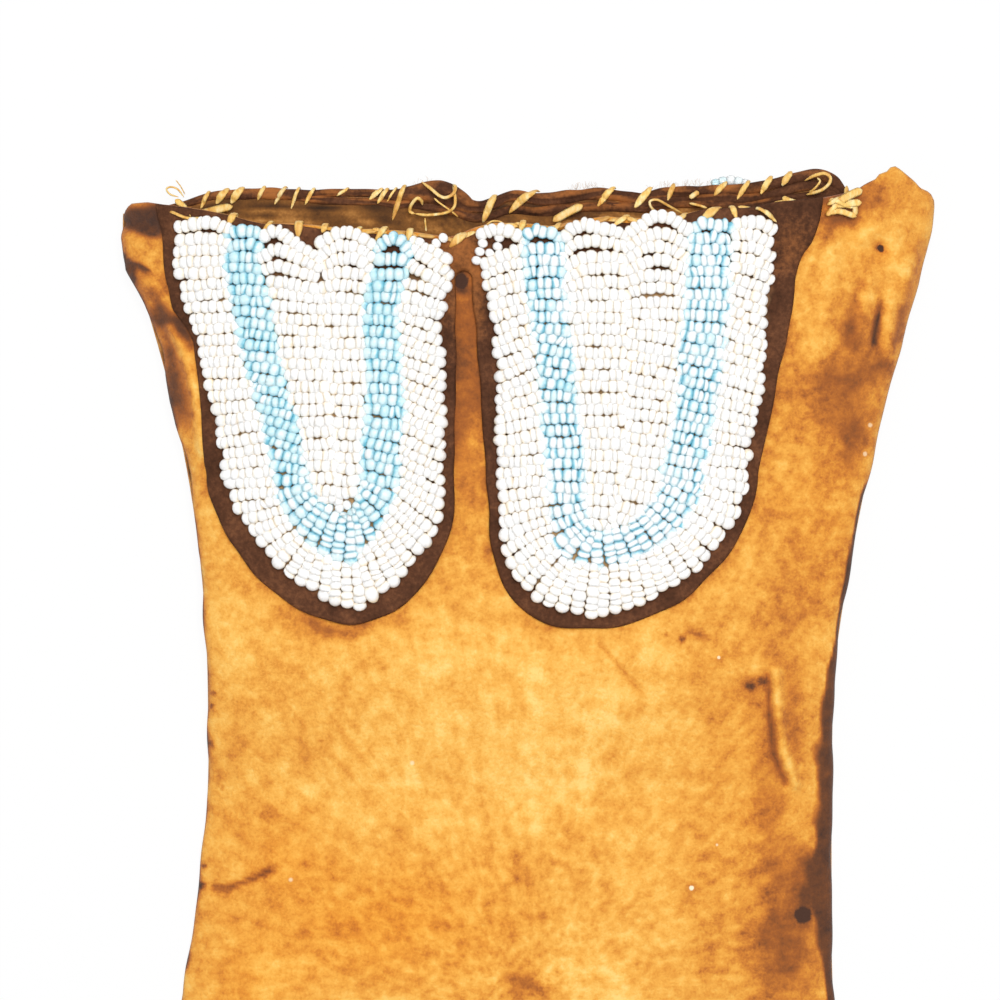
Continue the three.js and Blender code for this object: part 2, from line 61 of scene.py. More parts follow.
# Highs and lows of the two mouth edges: share of the width from the left, height above the mouth line
FRONT_MOUTH = [(0, -2), (0.04, 0), (0.39, -10), (0.84, 0.5), (0.885, 1.2), (0.948, 9.6), (1, 2.2)]
BACK_MOUTH = [(0, -2), (0.1, -1.2), (0.38, 1), (0.437, -4.2), (0.49, -0.8), (0.76, 0.5), (0.86, 4),
              (0.905, -2), (0.948, 8.6), (1, 1.6)]

# The front edge of the mouth as it lies, from the left corner to the tip of the ear and down: x, depth
FRONT_EDGE = [(-103.5, 2.6), (-102.4, 0.9), (-101.2, -0.1), (-97, -0.3), (-93.4, 0.3), (-88, 1),
              (-81.5, 2.1), (-75, 3.5), (-70, 5), (-66, 5.9), (-58, 5.8), (-52, 6.4), (-43, 7.5),
              (-37, 7.4), (-28, 8), (-22, 8.9), (-18, 9.7), (-14.7, 8.9), (-11, 7.2), (-6.3, 6), (1.3, 6),
              (8.6, 6.8), (15.7, 5.3), (22.7, 4.2), (27.5, 4.7), (34, 4.6), (40.5, 4.2), (46.4, 2.6),
              (52.4, 2.1), (58.4, 2), (66, 0.4), (77.5, -0.8), (85.8, -2.6), (88.1, -3.7), (89.7, -4.8),
              (92.4, -6.1), (93.4, -7.4), (95.5, -8.2), (96.9, -9.8), (98.5, -8.9), (102.5, -5.9),
              (104.1, -4.2), (106.8, -3.2), (107.8, -1.4)]
# How far the front hide stands out at its sides, past the plain outline: depth, way out
LEFT_SWELL = [(4, 0), (10, 0.9), (16.6, 2), (20.8, 1.1), (25, 0.2), (31, -0.5), (38, -0.8), (44, 0),
              (51, 0.5), (57, 0.4), (64, -0.3), (70, -0.6), (77, -0.6), (83, -0.4), (90, 0)]
RIGHT_SWELL = [(0, 0), (6, 0.8), (12, 1.3), (20, 1.5), (28, 1.1), (40, 0.7), (60, 0.3), (75, 0)]

# Thicknesses, and how far the layers stand off one another
HIDE = 1.4
FLAP = 1.2
BEAD = 2.9
CLEARANCE = 0.3
BACK_LIFT = BEAD + CLEARANCE + FLAP + CLEARANCE
MOUTH_OPEN = 16
BODY_OPEN = 9
MOUTH_REACH = 200
SIDE_ROUND = 0.65
FOOT_ROUND = 4
RAMP_TOP = 114
RAMP_LENGTH = 46
# How far the middle of a hide's cut edge stands out
EDGE_BULGE = 0.5


def set_in(left=0, bottom=0, right=0, left_tuck=0, right_tuck=0, lift=0):
    """How far a line lies inside a lobe's outline, how much its rounds flatten, and its shoulder's lift."""
    return {"left": left, "bottom": bottom, "right": right, "left_tuck": left_tuck,
            "right_tuck": right_tuck, "lift": lift}


# The two lobes of a flap, and the lines inside them that part the bead lanes
LEFT_LOBE = {"top_left": -92, "low_left": -80, "lowest": -43.5, "low_right": -17, "top_right": -16.5,
             "left_shoulder": 70, "right_shoulder": 78, "depth": 109, "left_round": 1.8, "right_round": 1.8,
             "field_edge": set_in(3.0, 4.4, 3.2, 0.35, 0.35, 0),
             "blue_edge": set_in(16.5, 16.0, 14.2, 0, 0.5, 6),
             "inner_edge": set_in(25.5, 28.6, 24.2, 0.1, 0.4, 8)}
RIGHT_LOBE = {"top_left": -12.5, "low_left": -8.3, "lowest": 20, "low_right": 61.5, "top_right": 72,
              "left_shoulder": 75, "right_shoulder": 70, "depth": 110, "left_round": 2.8,
              "right_round": 1.8,
              "field_edge": set_in(3.2, 4.0, 3.2, 0.15, 0.15, 0),
              "blue_edge": set_in(15.5, 16.2, 14.2, 0, 0, 0),
              "inner_edge": set_in(25.5, 25.2, 25.0, 0.1, 0.1, 0)}
LOBES = {"left": LEFT_LOBE, "right": RIGHT_LOBE}
# The flap's right edge from the rim to where the lobe's side takes over: x, depth
FLAP_CORNER = [(78.2, -0.5), (77.2, 5), (75.4, 10), (72.8, 13.8), (71.2, 20)]
FLAP_CORNER_DEPTH = 28
# How far the flap's edge lies below the front edge: x, way
FLAP_DROP = [(-94, -0.3), (-62, -0.3), (-56, 0.2), (-45, 0.8), (27, 0.9), (38, 0.2), (43, -0.5), (78, -0.5)]
# The flap's left edge from the lobe's side up to the rim: x, depth
FLAP_LEFT_TOP = [(-92.2, 20), (-92.6, 15.3), (-92.9, 8.5), (-94.3, 2.8)]
# How far the flap's left edge wanders to the right: depth, way
FLAP_LEFT_DRIFT = [(22, 0), (27, 0.2), (31, 2.2), (36, 3.4), (42, 2.9), (46, 2.3), (54, 1.1), (60, 0),
                   (67, -1.6), (74, -1.3), (80, -1), (90, 0)]
SLIT_TOP = 20

# Bead lanes
ROW_PITCH = 2.92
BEAD_STEP = 1.86
BEADS_BELOW_RIM = 4
BEAD_SPREAD = 1.16
NO_INSET = set_in()
# Rows of the two straight lanes shorter than this are joined, and shorter than the next are left out
SHORTEST_ROW = 4.5
SHORTEST_MIDDLE_ROW = 3.4

# First front rows of each lane arm: depths at even places from a row's left end to its right end
FRONT_TOPS = {
    "left": {
        "outer": [[(6.5, 5.3, 5.3, 7.2), (9.8, 9.0, 9.0, 10.3), (12.9, 12.3, 12.3, 12.3)],
                  [(9.8, 11.6, 13.6, 15.7), (12.0, 14.4, 16.8, 19.2), (16.1, 18.1, 20.0, 22.3),
                   (20.9, 21.9, 22.8, 24.8), (24.3, 25.2, 26.2, 27.2), (27.1, 28.0, 28.4, 29.2)]],
        "blue": [[(8.4, 7.8, 7.7, 8.2), (11.6, 11.0, 11.0, 11.6)],
                 [(12.6, 10.9, 9.4, 10.6, 13.9), (15.3, 14.9, 14.9, 15.3, 16.2),
                  (19.5, 18.9, 18.9, 18.9, 19.0)]],
        "inner": [[(9.7, 7.8, 10.1, 12.6, 14.7), (14.7, 12.7, 13.9, 15.6, 17.3),
                   (17.8, 16.6, 17.3, 18.4, 19.5), (20.6, 20.6, 21.3, 21.9, 22.4)],
                  [(11.1, 8.6, 8.2, 9.4, 12.3), (14.2, 12.2, 11.3, 12.3, 14.5),
                   (16.9, 15.3, 14.4, 15.2, 17.2), (19.5, 18.6, 18.2, 18.7, 19.8)]],
    },
    "right": {
        "outer": [[(8.9, 7.4, 8.2, 10.5), (16.5, 15.0, 13.6, 13.3), (18.7, 17.2, 16.4, 16.1)],
                  [(6.3, 5.4, 5.5, 6.9), (9.2, 8.6, 8.9, 10.5), (12.0, 11.6, 12.2, 14.0),
                   (14.3, 14.6, 15.4, 17.2)]],
        "blue": [[(10.8, 7.9, 7.9, 8.5, 9.5), (13.2, 12.3, 12.2, 12.3, 12.6)],
                 [(6.9, 6.1, 6.1, 6.6, 7.2), (9.6, 9.4, 9.4, 9.6, 9.9)]],
        "inner": [[(9.9, 6.2, 6.8, 7.6, 9.4), (13.8, 10.9, 10.5, 10.9, 12.0),
                   (16.6, 14.8, 14.7, 14.7, 15.1), (19.5, 17.9, 17.4, 17.6, 18.2),
                   (22.4, 21.2, 21.1, 21.0, 21.2)],
                  [(9.4, 6.0, 4.2, 5.2, 8.2), (12.6, 9.6, 8.3, 9.0, 11.6), (15.6, 12.6, 11.6, 12.4, 14.7),
                   (18.2, 16.2, 15.4, 16.0, 17.8), (21.0, 19.6, 19.0, 19.4, 20.8),
                   (24.0, 23.0, 22.6, 22.8, 23.8)]],
    },
}
# How far the right end of a front row hangs below its left end further down each lane arm: depth, fall
ROW_FALLS = {
    "left": {"outer": [[(20, 0), (45, -0.6), (60, -1.2)], [(29, 2.0), (38, 1.0), (60, 0.4)]],
             "blue": [[(20, 0.3), (35, 1.4), (50, 2.2), (62, 2.6), (72, 0.6)], [(20, 0)]],
             "inner": [[(22, 1.2), (34, 0.4), (50, 0)], [(20, 0), (60, -0.3)]]},
    "right": {"outer": [[(20, -2), (27, -1.6), (34, -4.4), (46, -4.8), (56, -2.5), (66, -0.8)],
                        [(15, 2.9), (30, 3.8), (45, 3.0), (60, 2.0)]],
              "blue": [[(15, 0), (26, 0.4), (34, 1.8), (44, 1.4), (56, 0.3)],
                       [(15, 0), (25, 0.3), (35, 1.6), (50, 2.4), (65, 2.6)]],
              "inner": [[(20, 0), (40, 0.2)], [(26, 0), (34, 2.6), (44, 2.4), (60, 1.5)]]},
}
# How much of the last listed row's shape each row below it keeps
EASING = 0.6
# How far the front lanes' edges wander to the right of their straight lines, at these depths
DRIFT_DEPTHS = (6, 11, 17, 27, 36, 46, 55, 68)
LANE_DRIFT = {
    "left": {"field_left": (0.8, -1.4, -1.9, -1.4, 0.4, 0, 1.7, 0.4),
             "blue_left": (0.6, -0.7, -2.8, -2.6, -2.8, -1.9, -1, 0),
             "inner_left": (0, -1, -1.9, -1.4, -1.6, -1.4, 0, 0),
             "middle": (1.4, 1.4, 1.7, 1, 0.5, 1, 1.4, 0.5),
             "inner_right": (3.9, 3.9, 2.9, 0.4, 1, 1.3, 1, 0),
             "blue_right": (3.9, 3.9, 2.4, -0.4, 0, 1, 1, 0),
             "field_right": (2.4, 2.4, 1.9, -0.4, -0.4, 0.5, 0.5, 0)},
    "right": {"field_left": (-1.2, -1.2, 0, 0.5, 1, 1.4, 0.5, 0),
              "blue_left": (-2.2, -2.2, -2.4, -2.4, -1.4, -0.5, -0.9, 0),
              "inner_left": (-2.6, -2.6, -1.9, -1.9, -1.4, -1, -0.7, 0),
              "middle": (-2.9, -2.9, -2.4, -1.9, -1, -0.5, -0.5, 0),
              "inner_right": (-2.7, -2.7, -2.6, -1, -1.2, 0, 0.7, 0),
              "blue_right": (-2.7, -2.7, -2.2, -0.5, -0.3, 0.5, 0.7, 0),
              "field_right": (-3.2, -3.2, -2.6, -2.3, -0.7, 0, -0.3, 0)},
}
# Lanes without listed rows, behind
PLAIN_ROWS = {"outer": None, "blue": None, "inner": (None, None)}
# Strings of beads that have slipped out of their rows: piece, and the places of its beads (x, depth)
SLIPPED_BEADS = [
    ("front_left_outer_white_beads", [(-21.5, 11.0), (-19.7, 9.6)]),
    ("front_right_outer_white_beads", [(-9.6, 11.0), (-10.4, 13.1), (-11.2, 15.4)]),
    ("front_right_outer_white_beads", [(-5.4, 9.6), (-5.8, 11.9), (-7.8, 13.6)]),
    ("front_left_inner_white_beads_1", [(-46.6, 78.8), (-44.6, 78.0)]),
    ("front_left_blue_beads", [(-43.4, 80.2), (-45.2, 81.2), (-43.2, 82.2)]),
    ("front_right_inner_white_beads_1", [(24.3, 83.2), (22.4, 83.8)]),
    ("back_right_blue_beads", [(51.5, -6.4), (53.4, -7.0), (55.5, -7.4), (57.5, -7.0), (59.3, -6.4)]),
]

# Rolled edge over the back rim: the line of its crest (x, depth) and its strands of folded hide.
# Each strand has its way below the crest and its radius by x, and its height over the hide
ROLL = 4.6
ROLL_CREST = [(-94, -0.4), (-90, -1.3), (-86, -2.3), (-79, -4.1), (-66.6, -5.0), (-54, -4.5),
              (-47.8, -4.6), (-33.8, -4.5), (-29, -5.6), (-22.9, -6.7), (-19.2, -6.2), (-16, -4.4),
              (-13, -2.3), (-9.9, -1.8), (-6.8, -2.6), (-3.6, -4.0), (-0.5, -4.5), (5.2, -3.9),
              (14.6, -4.9), (20.8, -5.2), (31.2, -4.1), (37.4, -5.4), (52, -6.1), (58.5, -6.2),
              (67.6, -8.0), (72.8, -9.3), (77.5, -10.1), (81, -9.0), (84, -6.4), (86.5, -3)]
ROLL_STRANDS = [
    {"below": [(-94, 0.5), (-86, 1.0), (-75, 1.4), (-60, 1.4), (-52, 1.0), (-38, 1.0), (-31, 1.7),
               (-26, 2.7), (-21, 3.3), (-16, 2.7), (-12, 1.8), (0, 1.8), (86, 1.6)],
     "radius": [(-94, 0.4), (-86, 1.0), (-75, 1.35), (-60, 1.35), (-52, 1.0), (-38, 1.0), (-31, 1.7),
                (-26, 2.6), (-21, 3.2), (-16, 2.6), (-12, 1.7), (0, 1.7), (30, 1.5), (84, 1.6)],
     "over": 0.3},
    {"below": [(-62, 2.7), (-52, 2.9), (-38, 3.0), (-30, 4.4), (-24, 6.4), (-19, 7.0), (-13, 5.0),
               (-9, 4.6), (0, 5.2), (20, 5.2), (34, 3.8), (66, 4.2), (80, 4.4), (86, 3)],
     "radius": [(-62, 0.5), (-52, 1.0), (-24, 1.0), (-9, 1.2), (0, 1.4), (20, 1.4), (66, 1.2), (86, 1.5)],
     "over": 0.5},
    {"below": [(22, 4.4), (40, 5.0), (60, 6.0), (78, 7.4), (86, 4.6)],
     "radius": [(22, 0.8), (40, 1.0), (86, 1.3)], "over": 0.9},
]


# Plan and heights

def smoothstep(value, low, high):
    t = np.clip((value - low) / (high - low), 0, 1)
    return t * t * (3 - 2 * t)


def through(points, place):
    """Value at a place on straight stretches between points, each given as a place and a value."""
    return np.interp(place, *np.array(points).T)


def wave(turns, place):
    """A smooth line through highs and lows, each given as a place and a height."""
    places, heights = np.array(turns, float).T
    place = np.clip(place, 0, 1)
    after = np.clip(np.searchsorted(places, place), 1, len(places) - 1)
    share = smoothstep(place, places[after - 1], places[after])
    return heights[after - 1] + (heights[after] - heights[after - 1]) * share


def side_width(side, depth):
    drawn = np.clip((side["neck_depth"] - depth) / (side["neck_depth"] - side["straight_depth"]), 0, 1)
    flared = smoothstep(depth, side["flare_depth"], side["foot_depth"])
    return side["neck"] + (side["mouth"] - side["neck"]) * drawn ** side["draw"] \
        + (side["foot"] - side["neck"]) * flared


def across_at(share, depth):
    left = side_width(LEFT_SIDE, depth)
    return share * (left + side_width(RIGHT_SIDE, depth)) - left


def share_at(x, depth):
    left = side_width(LEFT_SIDE, depth)
    return (x + left) / (left + side_width(RIGHT_SIDE, depth))


def foot_depth(share):
    half_width = (LEFT_SIDE["foot"] + RIGHT_SIDE["foot"]) / 2
    to_side = 2 * np.minimum(share, 1 - share) * half_width
    in_corner = np.maximum(0, FOOT_CORNER - to_side)
    return BAG_LENGTH - FOOT_CORNER + np.sqrt(FOOT_CORNER ** 2 - in_corner ** 2)


def mouth_depth(turns, x):
    return -wave(turns, share_at(x, 0))


def front_rim(x):
    return through(FRONT_EDGE, x)


def back_rim(x):
    """The back's edge, which goes up into the roll where there is one."""
    on_roll = (x > ROLL_CREST[0][0]) & (x < ROLL_CREST[-1][0])
    plain = mouth_depth(BACK_MOUTH, x)
    return np.where(on_roll, np.minimum(plain, roll_crest(x) + ROLL / 2), plain)


def front_flap_rim(x):
    return front_rim(x) + through(FLAP_DROP, x)


def back_flap_rim(x):
    return roll_crest(x) + ROLL / 3


def back_under(depth):
    return BACK_LIFT * (1 - smoothstep(depth, RAMP_TOP, RAMP_TOP + RAMP_LENGTH))


def opening(share, depth):
    depth = np.maximum(0, depth)
    along = BODY_OPEN + (MOUTH_OPEN - BODY_OPEN) * np.maximum(0, 1 - depth / MOUTH_REACH) ** 2
    foot = np.sqrt(np.maximum(0, 1 - (depth / BAG_LENGTH) ** FOOT_ROUND))
    side = np.maximum(0, 1 - (2 * share - 1) ** 2) ** SIDE_ROUND
    return along * foot * side


def ripple(x, y, wavelength, seed):
    """A smooth random field with a spread of about 0.7, made of crossing waves."""
    rng = np.random.default_rng(seed)
    waves = 7
    total = 0
    for _ in range(waves):
        heading, phase = rng.uniform(0, 2 * np.pi, 2)
        length = wavelength * rng.uniform(0.7, 1.4)
        total = total + np.sin((x * np.cos(heading) + y * np.sin(heading)) * 2 * np.pi / length + phase)
    return total / math.sqrt(waves)


def ripples(x, y, waves):
    """Ripples added up, each given as a height, a wavelength and a seed."""
    return sum(height * ripple(x, y, wavelength, seed) for height, wavelength, seed in waves)


def line_distance(x, depth, points):
    """How far each place is from a line through the points."""
    nearest = np.full(np.shape(x), np.inf)
    for (x0, d0), (x1, d1) in zip(points[:-1], points[1:]):
        run = (x1 - x0) ** 2 + (d1 - d0) ** 2
        t = np.clip(((x - x0) * (x1 - x0) + (depth - d0) * (d1 - d0)) / run, 0, 1)
        nearest = np.minimum(nearest, np.hypot(x - x0 - t * (x1 - x0), depth - d0 - t * (d1 - d0)))
    return nearest


# Swells of the front hide: height, wavelength and seed, and the share of the width where they fade out
SWELLS = [(0.3, 48, 11), (0.12, 17, 12)]
SWELLS_FADE = 0.06
# Folds of the front hide: the line that each follows (x, depth), its half-width, and its height or sinking
FOLDS = [
    # the ear on the right: an open slit, the ridge beside it, long wrinkles and the puckered hole
    ([(93.8, 26), (93, 30), (92.2, 35.5)], 0.9, -1.3),
    ([(96.2, 23), (95.4, 38)], 1.7, 0.8),
    ([(105, 10), (102, 22), (99, 34)], 1.8, -0.8),
    ([(102, 11), (98.6, 25)], 1.6, 0.6),
    ([(88, 21), (85, 36)], 1.6, -0.6),
    ([(91, 20), (88, 34)], 1.5, 0.5),
    ([(81, 14), (77, 40)], 2.4, 0.5),
    ([(93.5, 11), (94.0, 11.6)], 1.0, -1.0),
    ([(89, 9), (92, 6.5), (97, 7.5)], 2.4, 0.8),
    ([(98, 11), (99, 16)], 2.2, 0.6),
    # the pinched corner on the left, its pocket, its slit and the fold that runs down the neck
    ([(-103.5, 4.5), (-95, 6.5)], 1.9, -1.9),
    ([(-104, 0.8), (-95, -0.5)], 1.6, 0.5),
    ([(-101, 14.6), (-97, 17.6)], 0.8, -1.0),
    ([(-97, 18.5), (-91, 26)], 2.2, 0.7),
    ([(-91.6, 32), (-88.4, 37), (-86.2, 43), (-84.6, 48.4), (-83.6, 54), (-83.2, 64)], 1.3, 1.2),
    ([(-94.5, 28), (-91.5, 42), (-88.5, 56)], 2.0, -0.6),
    # the long crease on the right of the body and the short one on the left
    ([(64.4, 122), (65, 132.6), (66.2, 142.5), (69.4, 150.5)], 0.8, -1.0),
    ([(66.6, 121), (67.3, 132), (68.6, 142), (72, 151)], 1.3, 1.2),
    ([(-80, 178.3), (-76.5, 178.4), (-73.8, 177), (-70, 175.9), (-65, 173.3)], 1.0, -0.6),
    ([(21.3, 114.7), (30.6, 125.8)], 0.7, -0.35),
    # the hide sinks at the top of the slit between the lobes
    ([(-15.1, 18.6), (-15.1, 22.4)], 1.3, -1.6),
]


def relief(x, depth):
    height = ripples(x, depth, SWELLS)
    share = share_at(x, depth)
    height = height * smoothstep(np.minimum(share, 1 - share), 0, SWELLS_FADE)
    for points, half_width, rise in FOLDS:
        height = height + rise * np.exp(-(line_distance(x, depth, points) / half_width) ** 2)
    return height


def front_top(x, depth):
    """Height of the outer face of the front hide."""
    floor_of_pouch = back_under(depth) + HIDE + CLEARANCE
    return floor_of_pouch + opening(share_at(x, depth), depth) + HIDE + relief(x, depth)


def front_flap_top(x, depth):
    return front_top(x, depth) + CLEARANCE + FLAP


# Meshes

class Pile:
    """Vertices, faces and point values of one piece, gathered part by part."""

    def __init__(self):
        self.vertices = []
        self.faces = []
        self.values = {}
        self.count = 0

    def add(self, vertices, faces, **values):
        vertices = np.asarray(vertices, float).reshape(-1, 3)
        self.faces.extend((np.asarray(group) + self.count).tolist() for group in faces)
        self.vertices.append(vertices)
        for name, value in values.items():
            spread = np.broadcast_to(np.asarray(value, float), len(vertices))
            self.values.setdefault(name, []).append(spread)
        self.count += len(vertices)

    def piece(self, name, material, slot):
        mesh = bpy.data.meshes.new(name)
        faces = [face for group in self.faces for face in group]
        mesh.from_pydata(np.vstack(self.vertices) * MM, [], faces)
        mesh.validate()
        mesh.shade_smooth()
        for value_name, parts in self.values.items():
            attribute = mesh.attributes.new(value_name, "FLOAT", "POINT")
            attribute.data.foreach_set("value", np.concatenate(parts).astype(np.float32))
        mesh.materials.append(material)
        obj = bpy.data.objects.new(name, mesh)
        bpy.context.scene.collection.objects.link(obj)
        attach(obj, BODY)
        return obj


def to_space(x, depth, z):
    return np.stack(np.broadcast_arrays(x, MOUTH_Y - np.asarray(depth), z), axis=-1)


def closed_grid(upper, lower, bulge):
    """A closed sheet between two grids of points, with a rounded edge that stands out by bulge."""
    rows, columns, _ = upper.shape
    index = np.arange(rows * columns).reshape(rows, columns)
    corners = [index[:-1, :-1], index[1:, :-1], index[1:, 1:], index[:-1, 1:]]
    quads = np.stack(corners, axis=-1).reshape(-1, 4)
    under = quads[:, ::-1] + rows * columns
    rim = np.concatenate([index[0, :-1], index[:-1, -1], index[-1, :0:-1], index[:0:-1, 0]])
    flat_upper = upper.reshape(-1, 3)
    flat_lower = lower.reshape(-1, 3)
    ahead = np.roll(flat_upper[rim], -1, axis=0) - np.roll(flat_upper[rim], 1, axis=0)
    out = np.stack([-ahead[:, 1], ahead[:, 0]], axis=1)
    out = out / np.maximum(np.linalg.norm(out, axis=1, keepdims=True), 1e-9)
    edge = (flat_upper[rim] + flat_lower[rim]) / 2
    edge[:, :2] += out * bulge
    edge_index = 2 * rows * columns + np.arange(len(rim))
    after = np.roll(rim, -1)
    edge_after = np.roll(edge_index, -1)
    low = rows * columns
    walls = np.concatenate([
        np.stack([rim, after, edge_after, edge_index], axis=1),
        np.stack([edge_index, edge_after, after + low, rim + low], axis=1),
    ])
    return np.vstack([flat_upper, flat_lower, edge]), [quads, under, walls]


def skin(sections):
    """A closed skin over a run of rings of points, with a point at the middle of each end."""
    count, sides, _ = sections.shape
    ring = np.arange(count * sides).reshape(count, sides)
    beside = np.roll(ring, -1, axis=1)
    quads = np.stack([ring[:-1], beside[:-1], beside[1:], ring[1:]], axis=-1).reshape(-1, 4)
    first = count * sides
    start_cap = np.stack([np.full(sides, first), beside[0], ring[0]], axis=1)
    end_cap = np.stack([np.full(sides, first + 1), ring[-1], beside[-1]], axis=1)
    vertices = np.vstack([sections.reshape(-1, 3), sections[0].mean(0), sections[-1].mean(0)])
    return vertices, [quads, start_cap, end_cap]


def smooth_path(points, steps):
    """A smooth curve through the points, as steps + 1 points spaced evenly by their number."""
    points = np.asarray(points, float)
    padded = np.vstack([2 * points[0] - points[1], points, 2 * points[-1] - points[-2]])
    place = np.linspace(0, len(points) - 1, steps + 1)
    part = np.minimum(place.astype(int), len(points) - 2)
    t = (place - part)[:, None]
    p0, p1, p2, p3 = (padded[part + i] for i in range(4))
    return 0.5 * (2 * p1 + (p2 - p0) * t + (2 * p0 - 5 * p1 + 4 * p2 - p3) * t ** 2
                  + (3 * p1 - p0 - 3 * p2 + p3) * t ** 3)


def unit(vectors):
    return vectors / np.maximum(np.linalg.norm(vectors, axis=-1, keepdims=True), 1e-9)


def run_along(points):
    """How far along a line of points each of them is."""
    return np.concatenate([[0], np.cumsum(np.linalg.norm(np.diff(points, axis=0), axis=1))])


def ribbon(path, normals, widths, thicks, sides=8):
    """Rings of a flat strand along a path; its flat side faces along the normals."""
    ahead = unit(np.gradient(path, axis=0))
    across = unit(np.cross(ahead, normals))
    outward = np.cross(across, ahead)
    turn = np.arange(sides) * 2 * np.pi / sides
    widths = np.broadcast_to(widths, len(path))
    thicks = np.broadcast_to(thicks, len(path))
    return path[:, None, :] \
        + across[:, None, :] * (widths[:, None] / 2 * np.cos(turn))[:, :, None] \
        + outward[:, None, :] * (thicks[:, None] / 2 * np.sin(turn))[:, :, None]


def tapered(count, ends):
    """Shares of a strand's full width along its length, drawn in over its first and last points."""
    place = np.linspace(0, 1, count)
    return np.sqrt(np.clip(np.minimum(place, 1 - place) / ends, 0.03, 1))


def add_strand(pile, path, normals, width, thick, ends, shade, sides=8):
    """A flat strand along a path; ends gives the shares over which its width and thickness are drawn in."""
    widths = width * tapered(len(path), ends[0])
    thicks = thick * tapered(len(path), ends[1])
    pile.add(*skin(ribbon(path, normals, widths, thicks, sides)), shade=shade)


# Materials

def srgb(red, green, blue):
    """A colour as the eye reads it, 0 to 255, in the renderer's linear numbers."""
    shares = np.array([red, green, blue]) / 255
    linear = np.where(shares <= 0.04045, shares / 12.92, ((shares + 0.055) / 1.055) ** 2.4)
    return (*linear.tolist(), 1.0)


class Shader:
    """One material's node tree, built by short calls."""

    def __init__(self, name, roughness, **settings):
        self.material = bpy.data.materials.new(name)
        self.material.use_nodes = True
        self.tree = self.material.node_tree
        self.principled = self.tree.nodes["Principled BSDF"]
        self.principled.inputs["Roughness"].default_value = roughness
        for key, value in settings.items():
            socket = key.replace("_", " ").title().replace("Ior", "IOR")
            self.principled.inputs[socket].default_value = value
        self.places = self.tree.nodes.new("ShaderNodeTexCoord").outputs["Object"]

    def put(self, value, socket):
        if isinstance(value, bpy.types.NodeSocket):
            self.tree.links.new(value, socket)
        else:
            socket.default_value = value

    def node(self, kind, *inputs, output=0, **properties):
        made = self.tree.nodes.new(kind)
        for name, value in properties.items():
            setattr(made, name, value)
        for socket, value in zip(made.inputs, inputs):
            if value is not None:
                self.put(value, socket)
        return made.outputs[output]

    def math(self, operation, *values):
        return self.node("ShaderNodeMath", *values, operation=operation)

    def swung(self, field, share, base):
        """The base, moved by a share of how far a field is from its middle."""
        return self.math("MULTIPLY_ADD", self.math("SUBTRACT", field, 0.5), share, base)

    def noise(self, scale, detail=4.0, roughness=0.55, stretch=None, shift=None):
        places = self.places
        if stretch or shift:
            places = self.node("ShaderNodeMapping", places, shift or (0, 0, 0), None, stretch or (1, 1, 1))
        made = self.tree.nodes.new("ShaderNodeTexNoise")
        self.put(places, made.inputs["Vector"])
        made.inputs["Scale"].default_value = scale
        made.inputs["Detail"].default_value = detail
        made.inputs["Roughness"].default_value = roughness
        return made.outputs[0]

    def value(self, name):
        return self.node("ShaderNodeAttribute", output=2, attribute_name=name)

    def range(self, value, low, high, to_low=0.0, to_high=1.0):
        made = self.tree.nodes.new("ShaderNodeMapRange")
        made.interpolation_type = "SMOOTHSTEP"
        for socket, given in zip(made.inputs, (value, low, high, to_low, to_high)):
            self.put(given, socket)
        return made.outputs[0]

    def mix(self, factor, a, b, blend="MIX"):
        made = self.tree.nodes.new("ShaderNodeMix")
        made.data_type = "RGBA"
        made.blend_type = blend
        self.put(factor, made.inputs[0])
        self.put(a, made.inputs[6])
        self.put(b, made.inputs[7])
        return made.outputs[2]

    def ramp(self, value, *stops):
        made = self.tree.nodes.new("ShaderNodeValToRGB")
        self.put(value, made.inputs[0])
        elements = made.color_ramp.elements
        while len(elements) < len(stops):
            elements.new(0.5)
        for element, (place, colour) in zip(elements, stops):
            element.position = place
            element.color = colour
        return made.outputs[0]

    def spot(self, x, depth, radius, soft, ragged):
        """1 inside a small mark on the surface, 0 outside; ragged is how far its edge wanders."""
        edge = self.math("MULTIPLY", self.noise(1100, 3.0), ragged * MM)
        flat = self.node("ShaderNodeVectorMath", self.places, (1, 1, 0), operation="MULTIPLY")
        centre = (x * MM, (MOUTH_Y - depth) * MM, 0)
        away = self.node("ShaderNodeVectorMath", flat, centre, operation="DISTANCE", output=1)
        far = self.math("ADD", away, edge)
        return self.range(far, (radius + ragged / 2) * MM, (radius + ragged / 2 + soft) * MM, 1.0, 0.0)

    def bump(self, height, distance, strength=1.0):
        made = self.tree.nodes.new("ShaderNodeBump")
        made.inputs["Strength"].default_value = strength
        made.inputs["Distance"].default_value = distance * MM
        self.put(height, made.inputs["Height"])
        self.put(made.outputs[0], self.principled.inputs["Normal"])

    def colour(self, value):
        self.put(value, self.principled.inputs["Base Color"])


